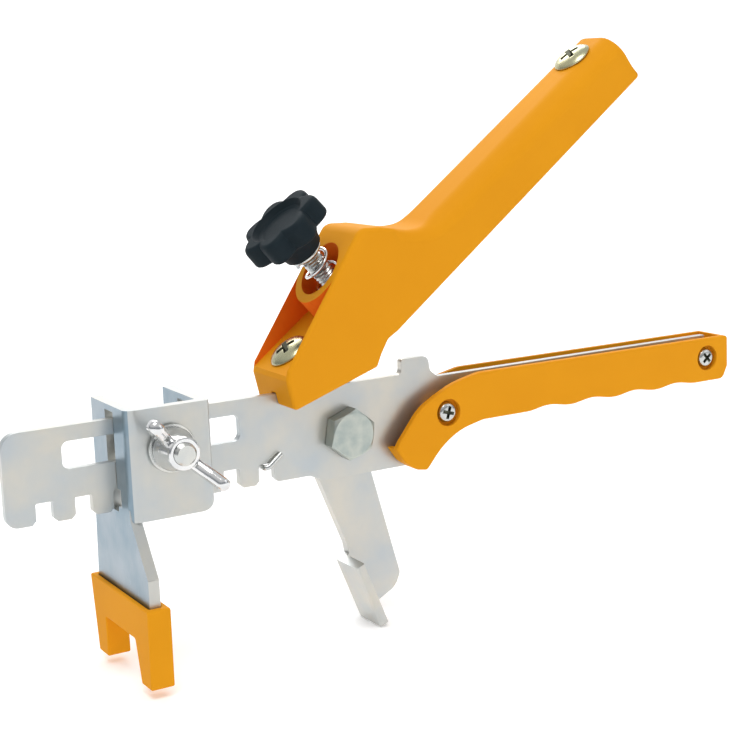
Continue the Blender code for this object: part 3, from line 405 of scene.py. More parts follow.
ZINC = zinc("zinc_sheet", (0.48, 0.52, 0.54, 1.0), (0.60, 0.58, 0.52, 1.0), 0.28, 0.42, 0.8)
ZINC_BRIGHT = zinc("zinc_bright", (0.50, 0.53, 0.54, 1.0), (0.64, 0.63, 0.58, 1.0), 0.18, 0.28)
# Darker, bluer zinc: painted shade and a painted reflection of a darker blue surround, for the bracket faces that
# look towards its free end.
ZINC_PAINTED_SHADE = zinc("zinc_painted_shade_and_reflection", (0.20, 0.28, 0.34, 1.0), (0.33, 0.38, 0.42, 1.0), 0.24, 0.36, 0.9)
ZINC_BOLT = zinc("zinc_bolt", (0.37, 0.42, 0.40, 1.0), (0.50, 0.53, 0.48, 1.0), 0.30, 0.42, 1.0, 240.0)
ZINC_YELLOW = zinc("zinc_yellow", (0.42, 0.45, 0.32, 1.0), (0.56, 0.52, 0.31, 1.0), 0.22, 0.32)
CHROME = zinc("bright_cast", (0.66, 0.67, 0.68, 1.0), (0.78, 0.78, 0.77, 1.0), 0.10, 0.20)
BRASS = zinc("bush_brass", (0.55, 0.42, 0.17, 1.0), (0.66, 0.50, 0.22, 1.0), 0.22, 0.32)
ORANGE = plastic("orange_plastic", (0.80, 0.33, 0.010, 1.0), (0.77, 0.31, 0.009, 1.0), 0.6)
# A redder, deeper orange that paints the shade of the boss hole and the nose pocket onto their walls.
ORANGE_PAINTED_SHADE = plastic("orange_plastic_painted_shade", (0.90, 0.185, 0.012, 1.0), (0.87, 0.165, 0.010, 1.0), 0.6)
# Dark zinc that paints shade into the screws' cross recesses.
RECESS_PAINTED_SHADE = zinc("screw_recess_painted_shade", (0.10, 0.11, 0.08, 1.0), (0.16, 0.16, 0.12, 1.0), 0.4, 0.5)
BLACK = plastic("black_plastic", (0.011, 0.020, 0.026, 1.0), (0.008, 0.015, 0.019, 1.0), 0.62, 0.25, 0.12)


# ---------------------------------------------------------------- main plate and lower grip
def grip_contour(inset):
    bottom = GRIP_BOTTOM + inset
    heel = HEEL_BOTTOM - 1.3 + inset
    return [
        (17.4 + inset, -8.3, 0.0), (21.2 + inset, -14.0, 6.0), (26.4, HEEL_BOTTOM - 0.6 + inset, 4.0),
        (30.8 - inset / 2, heel, 1.6), (37.8, -10.2 + inset, 30.0), (46.0, -4.8 + inset, 30.0),
        (57.0, bottom, 12.0), (GRIP_END - 2.6 - inset, bottom, 3.0), (GRIP_END - inset, 3.0, 2.0),
        (GRIP_END - inset, GRIP_TOP, 1.3),
    ]


def tang_edge(extra):
    floor = GRIP_BOTTOM + SHELL_WALL + 0.7 - extra
    end = SHELL_SCREWS[-1][0] + 5.0 + extra
    return [(26.5, HEEL_BOTTOM - extra, 0.0), (29.6 + extra, -13.6 - extra / 2, 0.0),
            (36.2 + extra / 2, -7.0 - extra, 0.0), (44.0 + extra / 2, -2.0 - extra, 0.0),
            (54.0, floor, 0.0), (end, floor, 0.0), (end, GRIP_TOP, 0.0)]


def main_plate():
    tooth, deep, half_notch, pitch, first = 1.5, 7.4, 3.1, 14.0, -33.6
    corners = [(-FRONT_REACH, PLATE_TOP, 6.0), (-FRONT_REACH, PLATE_BOTTOM, 6.0)]
    for k in reversed(range(7)):
        centre = first - k * pitch
        left, right = centre - half_notch, centre + half_notch
        ceiling = PLATE_BOTTOM + deep
        corners += [(left - tooth, PLATE_BOTTOM, 0.3), (left, PLATE_BOTTOM + tooth, 0.3), (left, ceiling, 0.6),
                    (right, ceiling, 0.6), (right, PLATE_BOTTOM + tooth, 0.3), (right + tooth, PLATE_BOTTOM, 0.3)]
    corners += [(-16.0, PLATE_BOTTOM, 4.0), (-10.5, HEEL_BOTTOM, 4.0)]
    corners += tang_edge(0.0)
    corners += [(41.0, GRIP_TOP, 2.0), (37.8, PLATE_TOP, 3.0), (37.0, 24.6, 3.0), (25.0, 24.6, 1.2),
                (25.0, PLATE_TOP, 2.2)]
    plate = prism("plate", rounded(corners), 0.0, PLATE_BACK)
    slot = rounded([(-110.2, 3.4, 2.6), (-43.5, 3.4, 2.6), (-43.5, 13.2, 2.6), (-110.2, 13.2, 2.6)])
    cutters = [prism("slot", slot, -2.0, 5.0), rod("pivot_hole", (0, -2, 0), (0, 1, 0), 5.3, 7.0)]
    cutters += [rod(f"hole_{k}", (x, -2.0, z), (0, 1, 0), 2.3, 7.0) for k, (x, z) in enumerate(SHELL_SCREWS)]
    carve(plate, *cutters)
    soften(plate, 0.28, 2)
    show(plate, "frame", ZINC, "zinc_steel", "main_plate")


def finger_grooves(points):
    pitch, depth = 21.8, 1.3
    stop = GRIP_END - 17.2
    start = stop - 4 * pitch
    grooved = []
    for i, (x, z) in enumerate(points):
        grooved.append((x, z))
        following = points[(i + 1) % len(points)]
        if abs(z - GRIP_BOTTOM) < 0.01 and abs(following[1] - GRIP_BOTTOM) < 0.01 and following[0] - x > 50.0:
            count = 72
            for k in range(count + 1):
                here = start + (stop - start) * k / count
                lift = depth * (0.5 - 0.5 * cos(2 * pi * (here - start) / pitch))
                grooved.append((here, GRIP_BOTTOM + lift))
    return grooved


def round_rim(outline, face, back, radius, name, steps=5):
    """A prism whose rim at the face is rounded: rings shrink towards the face."""
    inward = 1.0 if back > face else -1.0
    rings = []
    for k in range(steps + 1):
        angle = pi / 2 * k / steps
        inset = radius * (1 - sin(angle))
        rings.append((shrink(outline, inset), face + inward * radius * (1 - cos(angle))))
    rings.append((outline, back))
    return loft([[(x, y, z) for x, z in ring] for ring, y in rings], name)


def shrink(outline, inset):
    """Moves each point of the outline inwards along its own normal."""
    if inset < 1e-6:
        return list(outline)
    area = sum(a[0] * b[1] - b[0] * a[1] for a, b in zip(outline, outline[1:] + outline[:1]))
    turn = 1.0 if area > 0 else -1.0
    moved = []
    for i, point in enumerate(outline):
        here = Vector(point)
        before = (here - Vector(outline[i - 1])).normalized()
        after = (Vector(outline[(i + 1) % len(outline)]) - here).normalized()
        heading = (before + after).normalized()
        normal = Vector((-heading.y, heading.x)) * turn
        corner = max(0.5, normal.dot(Vector((-after.y, after.x)) * turn))
        moved.append(tuple(here + normal * inset / corner))
    return moved


def grip_shell(node, outer, inner):
    """One half of the lower grip, from its outer face to the joint between the halves."""
    inward = 1.0 if inner > outer else -1.0
    wall_end = outer + inward * SHELL_WALL
    plate_side = -GAP if inward > 0 else PLATE_BACK + GAP
    mouth = [(56.0, GRIP_TOP + 0.5, 14.0), (43.0, 13.8, 40.0), (28.6, 6.3, 20.0), (19.2, -5.4, 1.3)]
    outline = finger_grooves(rounded(grip_contour(0.0) + mouth))
    shell = round_rim(outline, outer, inner, 0.9, f"{node}_visual")
    mould = grip_contour(SHELL_WALL)
    above = GRIP_TOP + 4.0
    hollow = rounded(mould[:-1] + [(mould[-1][0], above, 0.0), (10.0, above, 0.0), (10.0, -8.3, 0.0)])
    edge = rounded(tang_edge(GAP))
    way = [(8.0, edge[0][1])] + edge[:-1] + [(edge[-1][0], GRIP_TOP + 5.0), (8.0, GRIP_TOP + 5.0)]
    past = inner + inward
    carve(shell, prism("hollow", hollow, min(wall_end, past), max(wall_end, past)),
          prism("way", way, min(plate_side, past), max(plate_side, past)))
    bite = wall_end - inward * 0.8
    unite(shell, *[rod(f"boss_{k}", (x, bite, z), (0, inward, 0), 6.7, abs(plate_side - bite))
                   for k, (x, z) in enumerate(SHELL_SCREWS)])
    cutters = []
    for k, (x, z) in enumerate(SHELL_SCREWS):
        cutters.append(rod(f"hole_{k}", (x, outer - inward, z), (0, inward, 0), 2.3, abs(inner - outer) + 2.0, 32))
        if inward > 0:
            cutters.append(rod(f"recess_{k}", (x, outer - 1.0, z), (0, 1, 0), 5.3, 3.6))
        else:
            cutters.append(prism(f"recess_{k}", circle((x, z), hex_radius(SHELL_NUT) + GAP, 6), 7.0, outer + 1.0))
    carve(shell, *cutters)
    soften(shell, 0.22, 2, 40.0)
    show(shell, "frame", ORANGE, "orange_plastic", node)


def cross_recess(foot, axis, depth, span, width, name, turn=0.0):
    """A tapered cross, opening along the axis from foot, to cut into a screw head."""
    up = Vector(axis).normalized()
    side = Matrix.Rotation(turn, 3, up) @ up.orthogonal().normalized()
    third = up.cross(side)
    blades = []
    for k, (a, b) in enumerate(((side, third), (third, -side))):
        rings = []
        for height, share in ((-depth, 0.42), (0.0, 1.0), (3.0, 1.3)):
            half, thick = span / 2 * share, width / 2 * (0.6 + 0.4 * min(share, 1.0))
            centre = Vector(foot) + up * height
            rings.append([centre + a * half * i + b * thick * j for i, j in ((-1, -1), (1, -1), (1, 1), (-1, 1))])
        blades.append(loft(rings, f"{name}_blade_{k}"))
    return blades


def sunk_in_head(foot, up, rise, radius):
    """A test for the faces of a recess that get painted shade: those well below a domed head's surface, above its
    seat.
    """
    def test(middle, normal):
        away = middle - foot
        height = away.dot(up)
        from_axis = (away - up * height).length
        dome = rise * (1.0 - (from_axis / radius) ** 2.6)
        return from_axis < radius * 0.75 and 0.3 < height < dome - 0.28
    return test


def ring_thread(radius, start, length, pitch, depth):
    """Profile points of a threaded stretch, as rings."""
    points = []
    count = int(length / pitch)
    for k in range(count):
        points.append((radius - depth, start + k * pitch))
        points.append((radius, start + (k + 0.5) * pitch))
    points.append((radius - depth, start + count * pitch))
    return points


def grip_screws():
    for k, (x, z) in enumerate(SHELL_SCREWS):
        seat = SHELL_FRONT + 2.3
        head = 4.0
        profile = [(0.0, -2.3), (head * 0.55, -2.28), (head * 0.80, -1.95), (head * 0.93, -1.4), (head, -0.6),
                   (head, 0.0), (2.0, 0.0), (2.0, 14.9), (0.0, 14.9)]
        screw = turned(f"grip_screw_{k + 1}_visual", profile, (x, seat, z), (0, 1, 0))
        carve(screw, *cross_recess((x, seat - 2.15, z), (0, -1, 0), 1.5, 5.0, 1.3, "cross", 0.5 + k))
        soften(screw, 0.06, 2, 35.0)
        # The cross recess is painted dark as shade.
        show(screw, "frame", ZINC_BRIGHT, "zinc_steel", f"grip_screw_{k + 1}", inner=RECESS_PAINTED_SHADE,
             gets_painted_shade=sunk_in_head(Vector((x, seat, z)), Vector((0.0, -1.0, 0.0)), 2.3, head))
        nut = prism(f"grip_nut_{k + 1}_visual", circle((x, z), hex_radius(SHELL_NUT), 6), 7.3, 10.3)
        carve(nut, rod("bore", (x, 2.0, z), (0, 1, 0), 2.1, 10.0, 32))
        soften(nut, 0.3, 2)
        show(nut, "frame", ZINC_BRIGHT, "zinc_steel", f"grip_nut_{k + 1}")


# ---------------------------------------------------------------- pivot
def pivot_hardware():
    corner = hex_radius(PIVOT_FLATS)
    seat, height = -GAP, 6.0
    bolt = prism("pivot_bolt_visual", circle((0, 0), corner, 6, 20.0), seat - height, seat)
    profile = [(0.0, 0.0), (corner + 3.0, 0.0), (corner + 3.0, height - 1.6), (corner, height - 0.85),
               (8.2, height), (7.9, height + 0.9), (0.0, height + 0.9)]
    carve(bolt, turned("cone", profile, (0, seat + 0.01, 0), (0, -1, 0), 96), operation="INTERSECT")
    unite(bolt, rod("shank", (0, seat - 1.0, 0), (0, 1, 0), 4.99, 31.0))
    soften(bolt, 0.25, 3)
    show(bolt, "frame", ZINC_BOLT, "zinc_steel", "pivot_bolt")
    bush = turned("pivot_bush_visual", [(5.15, 0), (6.0, 0), (6.0, 13.1), (5.15, 13.1)], (0, 3.3, 0), (0, 1, 0))
    soften(bush, 0.1, 2)
    show(bush, "frame", BRASS, "bush_brass", "pivot_bush")
    collar("pivot_washer", (0, 16.7, 0), (0, 1, 0), 5.3, 10.0, 2.0, "frame")
    nut = prism("pivot_nut_visual", circle((0, 0), corner, 6), 19.0, 26.5)
    unite(nut, rod("collar", (0, 22.0, 0), (0, 1, 0), 7.9, 6.5))
    carve(nut, rod("nut_bore", (0, 18.0, 0), (0, 1, 0), 5.15, 12.0))
    soften(nut, 0.6, 3)
    show(nut, "frame", ZINC_BRIGHT, "zinc_steel", "pivot_nut")


def return_spring():
    """Torsion spring round the bush: its hook holds the plate's last notch, its other leg the lever."""
    size, mean = 2.0, 8.5
    front_y, hook_y = LEVER_BACK + GAP + 1.0, -GAP - 1.0
    hook_x, hook_z = -34.4, PLATE_BOTTOM + 7.4 - GAP - 1.0
    hook = [(hook_x + 6.4, hook_y - 0.1, hook_z + 4.6), (hook_x + 3.4, hook_y - 0.1, hook_z + 2.2),
            (hook_x + 1.2, hook_y - 0.1, hook_z + 0.5), (hook_x, hook_y + 0.5, hook_z),
            (hook_x - 0.2, hook_y + 2.0, hook_z), (hook_x - 0.2, front_y - 1.6, hook_z),
            (hook_x + 0.4, front_y - 0.4, hook_z), (hook_x + 2.0, front_y, hook_z)]
    turns, pitch, steps = 2.75, size + 0.15, 48
    path = smooth_path(hook, 6)
    for k in range(int(turns * steps) + 1):
        angle = -pi / 2 + 2 * pi * k / steps
        path.append(Vector((mean * cos(angle), front_y + pitch * k / steps, mean * sin(angle))))
    back_y = front_y + pitch * turns
    end_x, end_z = LEVER_SPRING_HOLE
    path += smooth_path([(-mean, back_y, -3.0), (-mean, back_y, end_z + 2.2), (-mean, back_y - 0.6, end_z + 0.7),
                         (end_x, back_y - 2.0, end_z), (end_x, PLATE_BACK + 0.6, end_z)], 6)
    spring = wire("return_spring_visual", path, size)
    soften(spring, 0.0)
    show(spring, "frame", ZINC_BRIGHT, "zinc_steel", "return_spring")


# ---------------------------------------------------------------- lever
def lever_plate():
    bend = 5.0
    foot_end = along(FOOT_TOP, FOOT_ANGLE, FOOT_LENGTH)
    arm = rounded([
        (-10.4, -17.5, 0.0), (0.0, -44.2, 2.0), (*offset(FOOT_TOP, FOOT_ANGLE, 0.0, bend), 0.0),
        (*offset(FOOT_TOP, FOOT_ANGLE, FOOT_LENGTH, bend), 0.0),
        (*offset(foot_end, FOOT_ANGLE, -2.0, bend + 1.0), 0.0),
        (20.6, -65.0, 8.0), (22.8, -59.8, 3.0), (11.9, -17.8, 0.0), (13.0, -8.0, 6.0), (13.0, 6.0, 8.0),
        (4.6, 17.0, 6.0), (3.5, 25.0, 6.0), (*grip_point(-9.5, STRAP_LOW + 0.6), 0.0),
        (*grip_point(-27.0, STRAP_LOW + 0.6), 0.0), (-17.0, 18.0, 8.0), (-15.0, -2.0, 8.0),
    ])
    plate = prism("lever_plate_visual", arm, LEVER_FRONT, LEVER_BACK)
    fold = rounded([(bend + 0.5, LEVER_BACK, 0.0), (0.0, LEVER_BACK, bend), (0.0, LEVER_BACK - 18.0, 1.2),
                    (4.0, LEVER_BACK - 18.0, 1.2), (4.0, LEVER_FRONT, 1.2), (bend + 0.5, LEVER_FRONT, 0.0)])
    rings = []
    for out in (0.0, FOOT_LENGTH):
        ring = []
        for left, y in fold:
            x, z = offset(FOOT_TOP, FOOT_ANGLE, out, left)
            ring.append((x, y, z))
        rings.append(ring)
    strap_end = HANDLE_SCREWS[-1][1] + STRAP_AFTER_SCREW
    strap = prism("strap", [grip_point(STRAP_START, STRAP_LOW), grip_point(strap_end, STRAP_LOW),
                            grip_point(strap_end, STRAP_HIGH), grip_point(STRAP_START, STRAP_HIGH)],
                  -4.3, LEVER_BACK)
    unite(plate, loft(rings, "foot"), strap)
    up = grip_up()
    hole_x, hole_z = LEVER_SPRING_HOLE
    cutters = [rod("bore", (0, LEVER_FRONT - 1, 0), (0, 1, 0), 6.1, 6.0),
               rod("spring_hole", (hole_x, LEVER_FRONT - 1, hole_z), (0, 1, 0), 1.3, 6.0, 32)]
    for name, out in HANDLE_SCREWS:
        x, z = grip_point(out, 0.0)
        cutters.append(rod(name, (x, MIDDLE_Y, z), up, 3.3, 40.0))
        cutters.append(rod(name + "_room", Vector((x, MIDDLE_Y, z)) + up * (STRAP_LOW - 0.15), -up, 6.27, 12.0))
    foot, axis = knob_line(-30.0)
    cutters.append(rod("stud_hole", foot, axis, BOLT_CLEARANCE, 32.0))
    cutters.append(rod("stud_room", knob_line(-22.6)[0], -axis, 8.0, 9.0))
    carve(plate, *cutters)
    soften(plate, 0.3, 2)
    show(plate, "lever", ZINC, "zinc_steel", "lever_plate")


def handle_outline():
    tip_low = grip_point(GRIP_LENGTH, 0.0)
    tip_high = grip_point(GRIP_LENGTH - 1.0, GRIP_HEIGHT)
    saddle = grip_point(34.0, GRIP_HEIGHT)
    return rounded([
        (-27.4, 13.8, 1.7), (7.9, 25.6, 1.7), (9.8, 30.0, 3.0), (13.0, 35.4, 4.0), (*GRIP_START, 5.0),
        (*tip_low, 1.7), (*tip_high, 1.2), (*saddle, 24.0), (25.0, 74.6, 16.0), (11.5, 77.0, 4.0),
        (2.6, 77.3, 5.0), (*NOSE_CORNER, 1.7), (-29.9, 25.0, 1.7),
    ])


def height_of(x, z):
    """Height above the upper grip's lower edge line."""
    return (z - GRIP_START[1]) * cos(radians(GRIP_ANGLE)) - (x - GRIP_START[0]) * sin(radians(GRIP_ANGLE))


def out_of(x, z):
    """Distance along the upper grip."""
    return (x - GRIP_START[0]) * cos(radians(GRIP_ANGLE)) + (z - GRIP_START[1]) * sin(radians(GRIP_ANGLE))


def edge_radius(x, z):
    """Rim rounding: small on the nose and along the bottom, large along the top of the grip."""
    out = hypot(x - GRIP_START[0], z - GRIP_START[1])
    if height_of(x, z) <= GRIP_HEIGHT - 2.0:
        return HANDLE_EDGE
    share = min(1.0, max(0.0, (out - 28.0) / 20.0)) if x > GRIP_START[0] else 0.0
    return HANDLE_EDGE + (GRIP_TOP_EDGE - HANDLE_EDGE) * share * share * (3.0 - 2.0 * share)


def spaced(outline, longest=3.0):
    """The outline with points added so that no step is long."""
    points = []
    for a, b in zip(outline, outline[1:] + outline[:1]):
        at_tip = min(out_of(*a), out_of(*b)) > GRIP_LENGTH - 3.0
        count = 1 if at_tip else max(1, ceil(hypot(b[0] - a[0], b[1] - a[1]) / longest))
        points += [(a[0] + (b[0] - a[0]) * k / count, a[1] + (b[1] - a[1]) * k / count) for k in range(count)]
    return points


def handle_body(steps=10):
    outline = spaced(handle_outline())
    down = Vector((sin(radians(GRIP_ANGLE)), -cos(radians(GRIP_ANGLE))))
    inward = []
    for i, (x, z) in enumerate(outline):
        here = Vector((x, z))
        before = (here - Vector(outline[i - 1])).normalized()
        after = (Vector(outline[(i + 1) % len(outline)]) - here).normalized()
        heading = (before + after).normalized()
        straight_down = height_of(x, z) > GRIP_HEIGHT - 2.0 and edge_radius(x, z) > GRIP_TOP_EDGE - 0.1
        inward.append(down if straight_down else Vector((-heading.y, heading.x)))

    def ring(sign, quarter):
        points = []
        for point, direction in zip(outline, inward):
            radius = edge_radius(*point)
            x, z = Vector(point) + direction * radius * (1.0 - sin(quarter))
            half = NOSE_HALF + (TIP_HALF - NOSE_HALF) * (out_of(x, z) + 43.0) / (GRIP_LENGTH + 43.0)
            points.append((x, MIDDLE_Y + sign * (half - radius * (1.0 - cos(quarter))), z))
        return points

    quarters = [pi / 2 * k / steps for k in range(steps + 1)]
    rings = [ring(-1.0, q) for q in quarters] + [ring(1.0, q) for q in reversed(quarters)]
    return loft(rings, "upper_handle_visual")


def handle_painted_shade_faces(middle, normal):
    """True on the walls of the boss hole and on the walls of the nose pocket, the faces that get painted shade."""
    seat, up = knob_line(0.0)
    away = middle - seat
    depth = away.dot(up)
    from_axis = (away - up * depth).length
    if from_axis < 10.6 and (depth < -7.0 or (depth < -0.3 and abs(normal.dot(up)) < 0.5)):
        return True
    height, out = height_of(middle.x, middle.z), out_of(middle.x, middle.z)
    in_pocket = -47.0 < out < -7.5 and height > POCKET_FLOOR + 0.3 and abs(middle.y - MIDDLE_Y) < NOSE_HALF - 1.2
    return in_pocket and abs(normal.dot(up)) < 0.2 and depth < -1.0


def upper_handle():
    handle = handle_body()
    half, level, tip = 11.1, 17.2, GRIP_LENGTH - 4.5
    grip_room = rounded([(*grip_point(-13.5, -30.0), 0.0), (*grip_point(tip, -30.0), 0.0),
                         (*grip_point(tip, level), 2.0), (*grip_point(-13.5, level), 0.0)])
    start = -41.3
    nose_room = [grip_point(start, level + 0.01), grip_point(start, 4.0), grip_point(start, -30.0),
                 grip_point(6.0, -30.0), grip_point(6.0, level + 0.01)]
    plate_way = [(-40.0, PLATE_TOP + 0.5), (-40.0, -5.0), (12.0, -5.0), (12.0, PLATE_TOP + 0.5)]
    rim = NOSE_HALF - 1.5
    pocket = prism("pocket", [grip_point(-48.0, POCKET_FLOOR), grip_point(-8.0, POCKET_FLOOR),
                              grip_point(-8.0, 45.0), grip_point(-48.0, 45.0)], MIDDLE_Y - rim, MIDDLE_Y + rim)
    foot, axis = knob_line(-30.0)
    carve(pocket, rod("boss", foot, axis, 13.6, 60.0, 96))
    up = grip_up()
    cutters = [prism("grip_room", grip_room, MIDDLE_Y - half, MIDDLE_Y + half),
               prism("nose_room", nose_room, -4.6, LEVER_BACK + GAP),
               prism("plate_way", plate_way, -0.4, PLATE_BACK + 0.4), pocket,
               rod("boss_hole", knob_line(-8.0)[0], axis, 10.3, 30.0, 96),
               rod("stud_hole", knob_line(-28.0)[0], axis, BOLT_CLEARANCE, 40.0)]
    for name, out in HANDLE_SCREWS:
        x, z = grip_point(out, 0.0)
        cutters.append(rod(name, (x, MIDDLE_Y, z), up, 3.3, 40.0))
    carve(handle, *cutters)
    soften(handle, 0.3, 2, 40.0)
    # The walls of the boss hole and the pocket get the painted-shade orange.
    show(handle, "lever", ORANGE, "orange_plastic", "upper_handle", inner=ORANGE_PAINTED_SHADE, gets_painted_shade=handle_painted_shade_faces)


def lever_nut(node, seat, up, levels, flats, bore):
    """A hexagon nut on the lever, between two heights along the axis."""
    side = Vector((0.0, 1.0, 0.0))
    other = up.cross(side)
    corners = [(side * cos(a) + other * sin(a)) * hex_radius(flats) for a in [2 * pi * k / 6 for k in range(6)]]
    nut = loft([[seat + up * level + corner for corner in corners] for level in levels], f"{node}_visual")
    carve(nut, rod("nut_bore", seat + up * (levels[0] - 2.0), up, bore, levels[1] - levels[0] + 4.0))
    soften(nut, 0.4, 2)
    show(nut, "lever", ZINC_BRIGHT, "zinc_steel", node)


def handle_fasteners():
    up = grip_up()
    for (name, out), height in zip(HANDLE_SCREWS, (POCKET_FLOOR, GRIP_HEIGHT)):
        x, z = grip_point(out, height)
        surface = Vector((x, MIDDLE_Y, z))
        under = height - STRAP_LOW + GAP
        head = 7.75
        profile = [(0.0, -under - 6.0), (3.0, -under - 6.0), (3.0, GAP), (head, GAP), (head, 0.65),
                   (head * 0.93, 1.2), (head * 0.80, 1.8), (head * 0.62, 2.3), (head * 0.40, 2.62),
                   (head * 0.2, 2.78), (0.0, 2.8)]
        screw = turned(f"{name}_screw_visual", profile, surface, up, 96)
        carve(screw, *cross_recess(surface + up * 2.6, up, 2.0, 8.6, 2.1, "cross", 0.45))
        soften(screw, 0.08, 2, 35.0)
        # The cross recess is painted dark as shade.
        show(screw, "lever", ZINC_YELLOW, "yellow_zinc_steel", f"{name}_screw", inner=RECESS_PAINTED_SHADE,
             gets_painted_shade=sunk_in_head(surface, up, 2.8, head))
        lever_nut(f"{name}_nut", surface, up, (-under - 5.0, -under), HANDLE_NUT, 3.1)


# ---------------------------------------------------------------- adjusting knob
def knob():
    seat, up = knob_line(0.0)
    side = Vector((0.0, 1.0, 0.0))
    other = up.cross(side)
    lobes, radius, turn = 7, 16.8, radians(28.0)
    steps = lobes * 28

    def star(height, inset):
        ring = []
        for k in range(steps):
            angle = 2 * pi * k / steps
            lobe = 0.5 + 0.5 * cos(lobes * (angle - turn))
            reach = radius * (0.80 + 0.20 * lobe ** 0.62) - inset
            ring.append(seat + up * height + (side * cos(angle) + other * sin(angle)) * reach)
        return ring

    skirt, top = 16.3, 25.4
    levels = [(skirt, 1.6), (skirt + 0.2, 0.9), (skirt + 0.8, 0.25), (skirt + 1.6, 0.0), (top - 2.6, 0.15),
              (top - 1.5, 0.35), (top - 0.7, 0.8), (top - 0.2, 1.5), (top, 2.4)]
    body = loft([star(height, inset) for height, inset in levels], "star_knob_visual")
    low = 9.1
    hub = [(0.0, low), (7.2, low), (7.6, low + 0.4), (8.2, low + 2.5), (9.4, skirt - 2.4), (10.8, skirt - 0.8),
           (12.2, skirt + 0.4), (12.2, skirt + 2.0), (0.0, skirt + 2.0)]
    unite(body, turned("hub", hub, seat, up, 96))
    dish = [(0.0, top - 2.4), (8.0, top - 2.4), (9.6, top - 2.0), (10.6, top - 0.9), (11.4, top + 0.4),
            (11.6, top + 1.0), (0.0, top + 1.0)]
    carve(body, turned("dish", dish, seat, up, 96), rod("blind", seat, up, BOLT_CLEARANCE, skirt + 3.0))
    soften(body, 0.35, 3, 30.0)
    show(body, "knob", BLACK, "black_plastic", "star_knob")

    profile = [(0.0, -36.0), (3.0, -36.0), (4.0, -35.0)] + ring_thread(4.0, -34.6, 43.2, M8_PITCH, M8_DEPTH)
    profile += [(4.0, 8.7), (4.0, 19.0), (0.0, 19.0)]
    stud = turned("knob_stud_visual", profile, seat, up, 48)
    soften(stud, 0.0)
    show(stud, "knob", ZINC_BRIGHT, "zinc_steel", "knob_stud")

    washer_seat = 7.6
    collar("knob_washer", seat + up * washer_seat, up, BOLT_CLEARANCE, 6.5, 0.9, "knob_carriage", 0.2)

    size, mean, turns, per_turn = 1.5, 5.75, 2.25, 40
    first, last = GAP + size / 2 - 8.0, washer_seat - GAP - size / 2
    path = []
    count = int(turns * per_turn)
    for k in range(count + 1):
        share = k / count
        eased = share - 0.045 * sin(2 * pi * share)
        angle = 2 * pi * k / per_turn
        path.append(seat + up * (first + (last - first) * eased) + (side * cos(angle) + other * sin(angle)) * mean)
    spring = wire("knob_spring_visual", path, size)
    soften(spring, 0.0)
    show(spring, "lever", CHROME, "zinc_steel", "knob_spring")

    tilt = radians(KNOB_ANGLE - 90.0 - GRIP_ANGLE)
    drop = height_of(*nose_point(KNOB_PLACE, 0.0))
    nut_top = -(drop - STRAP_LOW) / cos(tilt) - STUD_NUT * 0.58 * abs(tan(tilt)) - GAP
    lever_nut("stud_nut", seat, up, (nut_top - 6.0, nut_top), STUD_NUT, 4.1)


# ---------------------------------------------------------------- clamping bracket
def across(name, outline, left, right):
    """A solid from a (y, z) outline, between two places along the plate."""
    return loft([[(x, y, z) for y, z in outline] for x in (left, right)], name)


# The faces towards the bracket's free end, which get painted shade and a painted blue reflection.
def faces_free_end(middle, normal):
    return normal.x < -0.7


def bracket():
    left, right, wall = BRACKET_LEFT, BRACKET_RIGHT, BRACKET_WALL
    plan = rounded([
        (left, BRACKET_BACK, 0.0), (left, BRACKET_FRONT, 3.6),
        (right, BRACKET_FRONT, 1.8), (right, BRACKET_BACK, 0.0),
        (right - wall, BRACKET_BACK, 0.0), (right - wall, BRACKET_FRONT + wall, 0.8),
        (left + wall, BRACKET_FRONT + wall, 0.8), (left + wall, BRACKET_BACK, 0.0),
    ])
    body = loft([[(x, y, z) for x, y in plan] for z in (-16.4, 23.0)], "bracket_visual")
    profile = rounded([
        (-10.4, -12.0, 0.0), (23.2, -12.0, 0.0), (25.2, -43.4, 0.0), (25.2, -56.0, 2.0), (-23.6, -56.0, 2.0),
        (-23.6, -33.8, 1.0), (-10.8, -15.6, 0.0),
    ])
    unite(body, across("leg", profile, left, left + wall))
    opening = [(-0.4, -14.6), (7.4, -14.6), (7.4, 20.9), (-0.4, 20.9)]
    slit = [(-3.4, -12.6), (0.6, -12.6), (0.6, -6.2), (-3.4, -6.2)]
    radius, level = 5.0, -11.4
    trim = [along((right - radius, level), -90.0 + 7.5 * k, radius) for k in range(13)]
    trim += [(right + 1.0, level), (right + 1.0, level - 6.0), (right - radius, level - 6.0)]
    carve(body, across("window", opening, left - 2.0, right + 2.0),
          across("slit", slit, left - 2.0, left + wall + 2.0),
          prism("trim", trim, BRACKET_FRONT - 1.0, BRACKET_FRONT + wall + 0.9),
          rod("hole", (CLAMP_X, BRACKET_FRONT - 1.0, CLAMP_Z), (0, 1, 0), BOLT_CLEARANCE, wall + 2.0))
    soften(body, 0.3, 2)
    # The faces towards the free end get painted shade and a painted blue reflection.
    show(body, "bracket_group", ZINC, "zinc_steel", "bracket", inner=ZINC_PAINTED_SHADE, gets_painted_shade=faces_free_end)


def fork_shoe():
    middle = BRACKET_LEFT + BRACKET_WALL / 2
    profile = rounded([
        (-27.0, -43.4, 1.0), (-26.4, -71.6, 0.8), (-17.4, -71.6, 0.8), (-13.4, -56.6, 0.8),
        (14.6, -56.6, 0.8), (14.5, -71.6, 0.8), (23.6, -71.6, 0.8), (28.0, -43.4, 1.0),
    ])
    shoe = across("fork_shoe_visual", profile, middle - 4.3, middle + 4.3)
    pocket = [(-23.9, -56.3), (25.5, -56.3), (25.5, -41.4), (-23.9, -41.4)]
    carve(shoe, across("pocket", pocket, middle - 2.3, middle + 2.3))
    soften(shoe, 0.55, 3)
    show(shoe, "bracket_group", ORANGE, "orange_plastic", "fork_shoe")


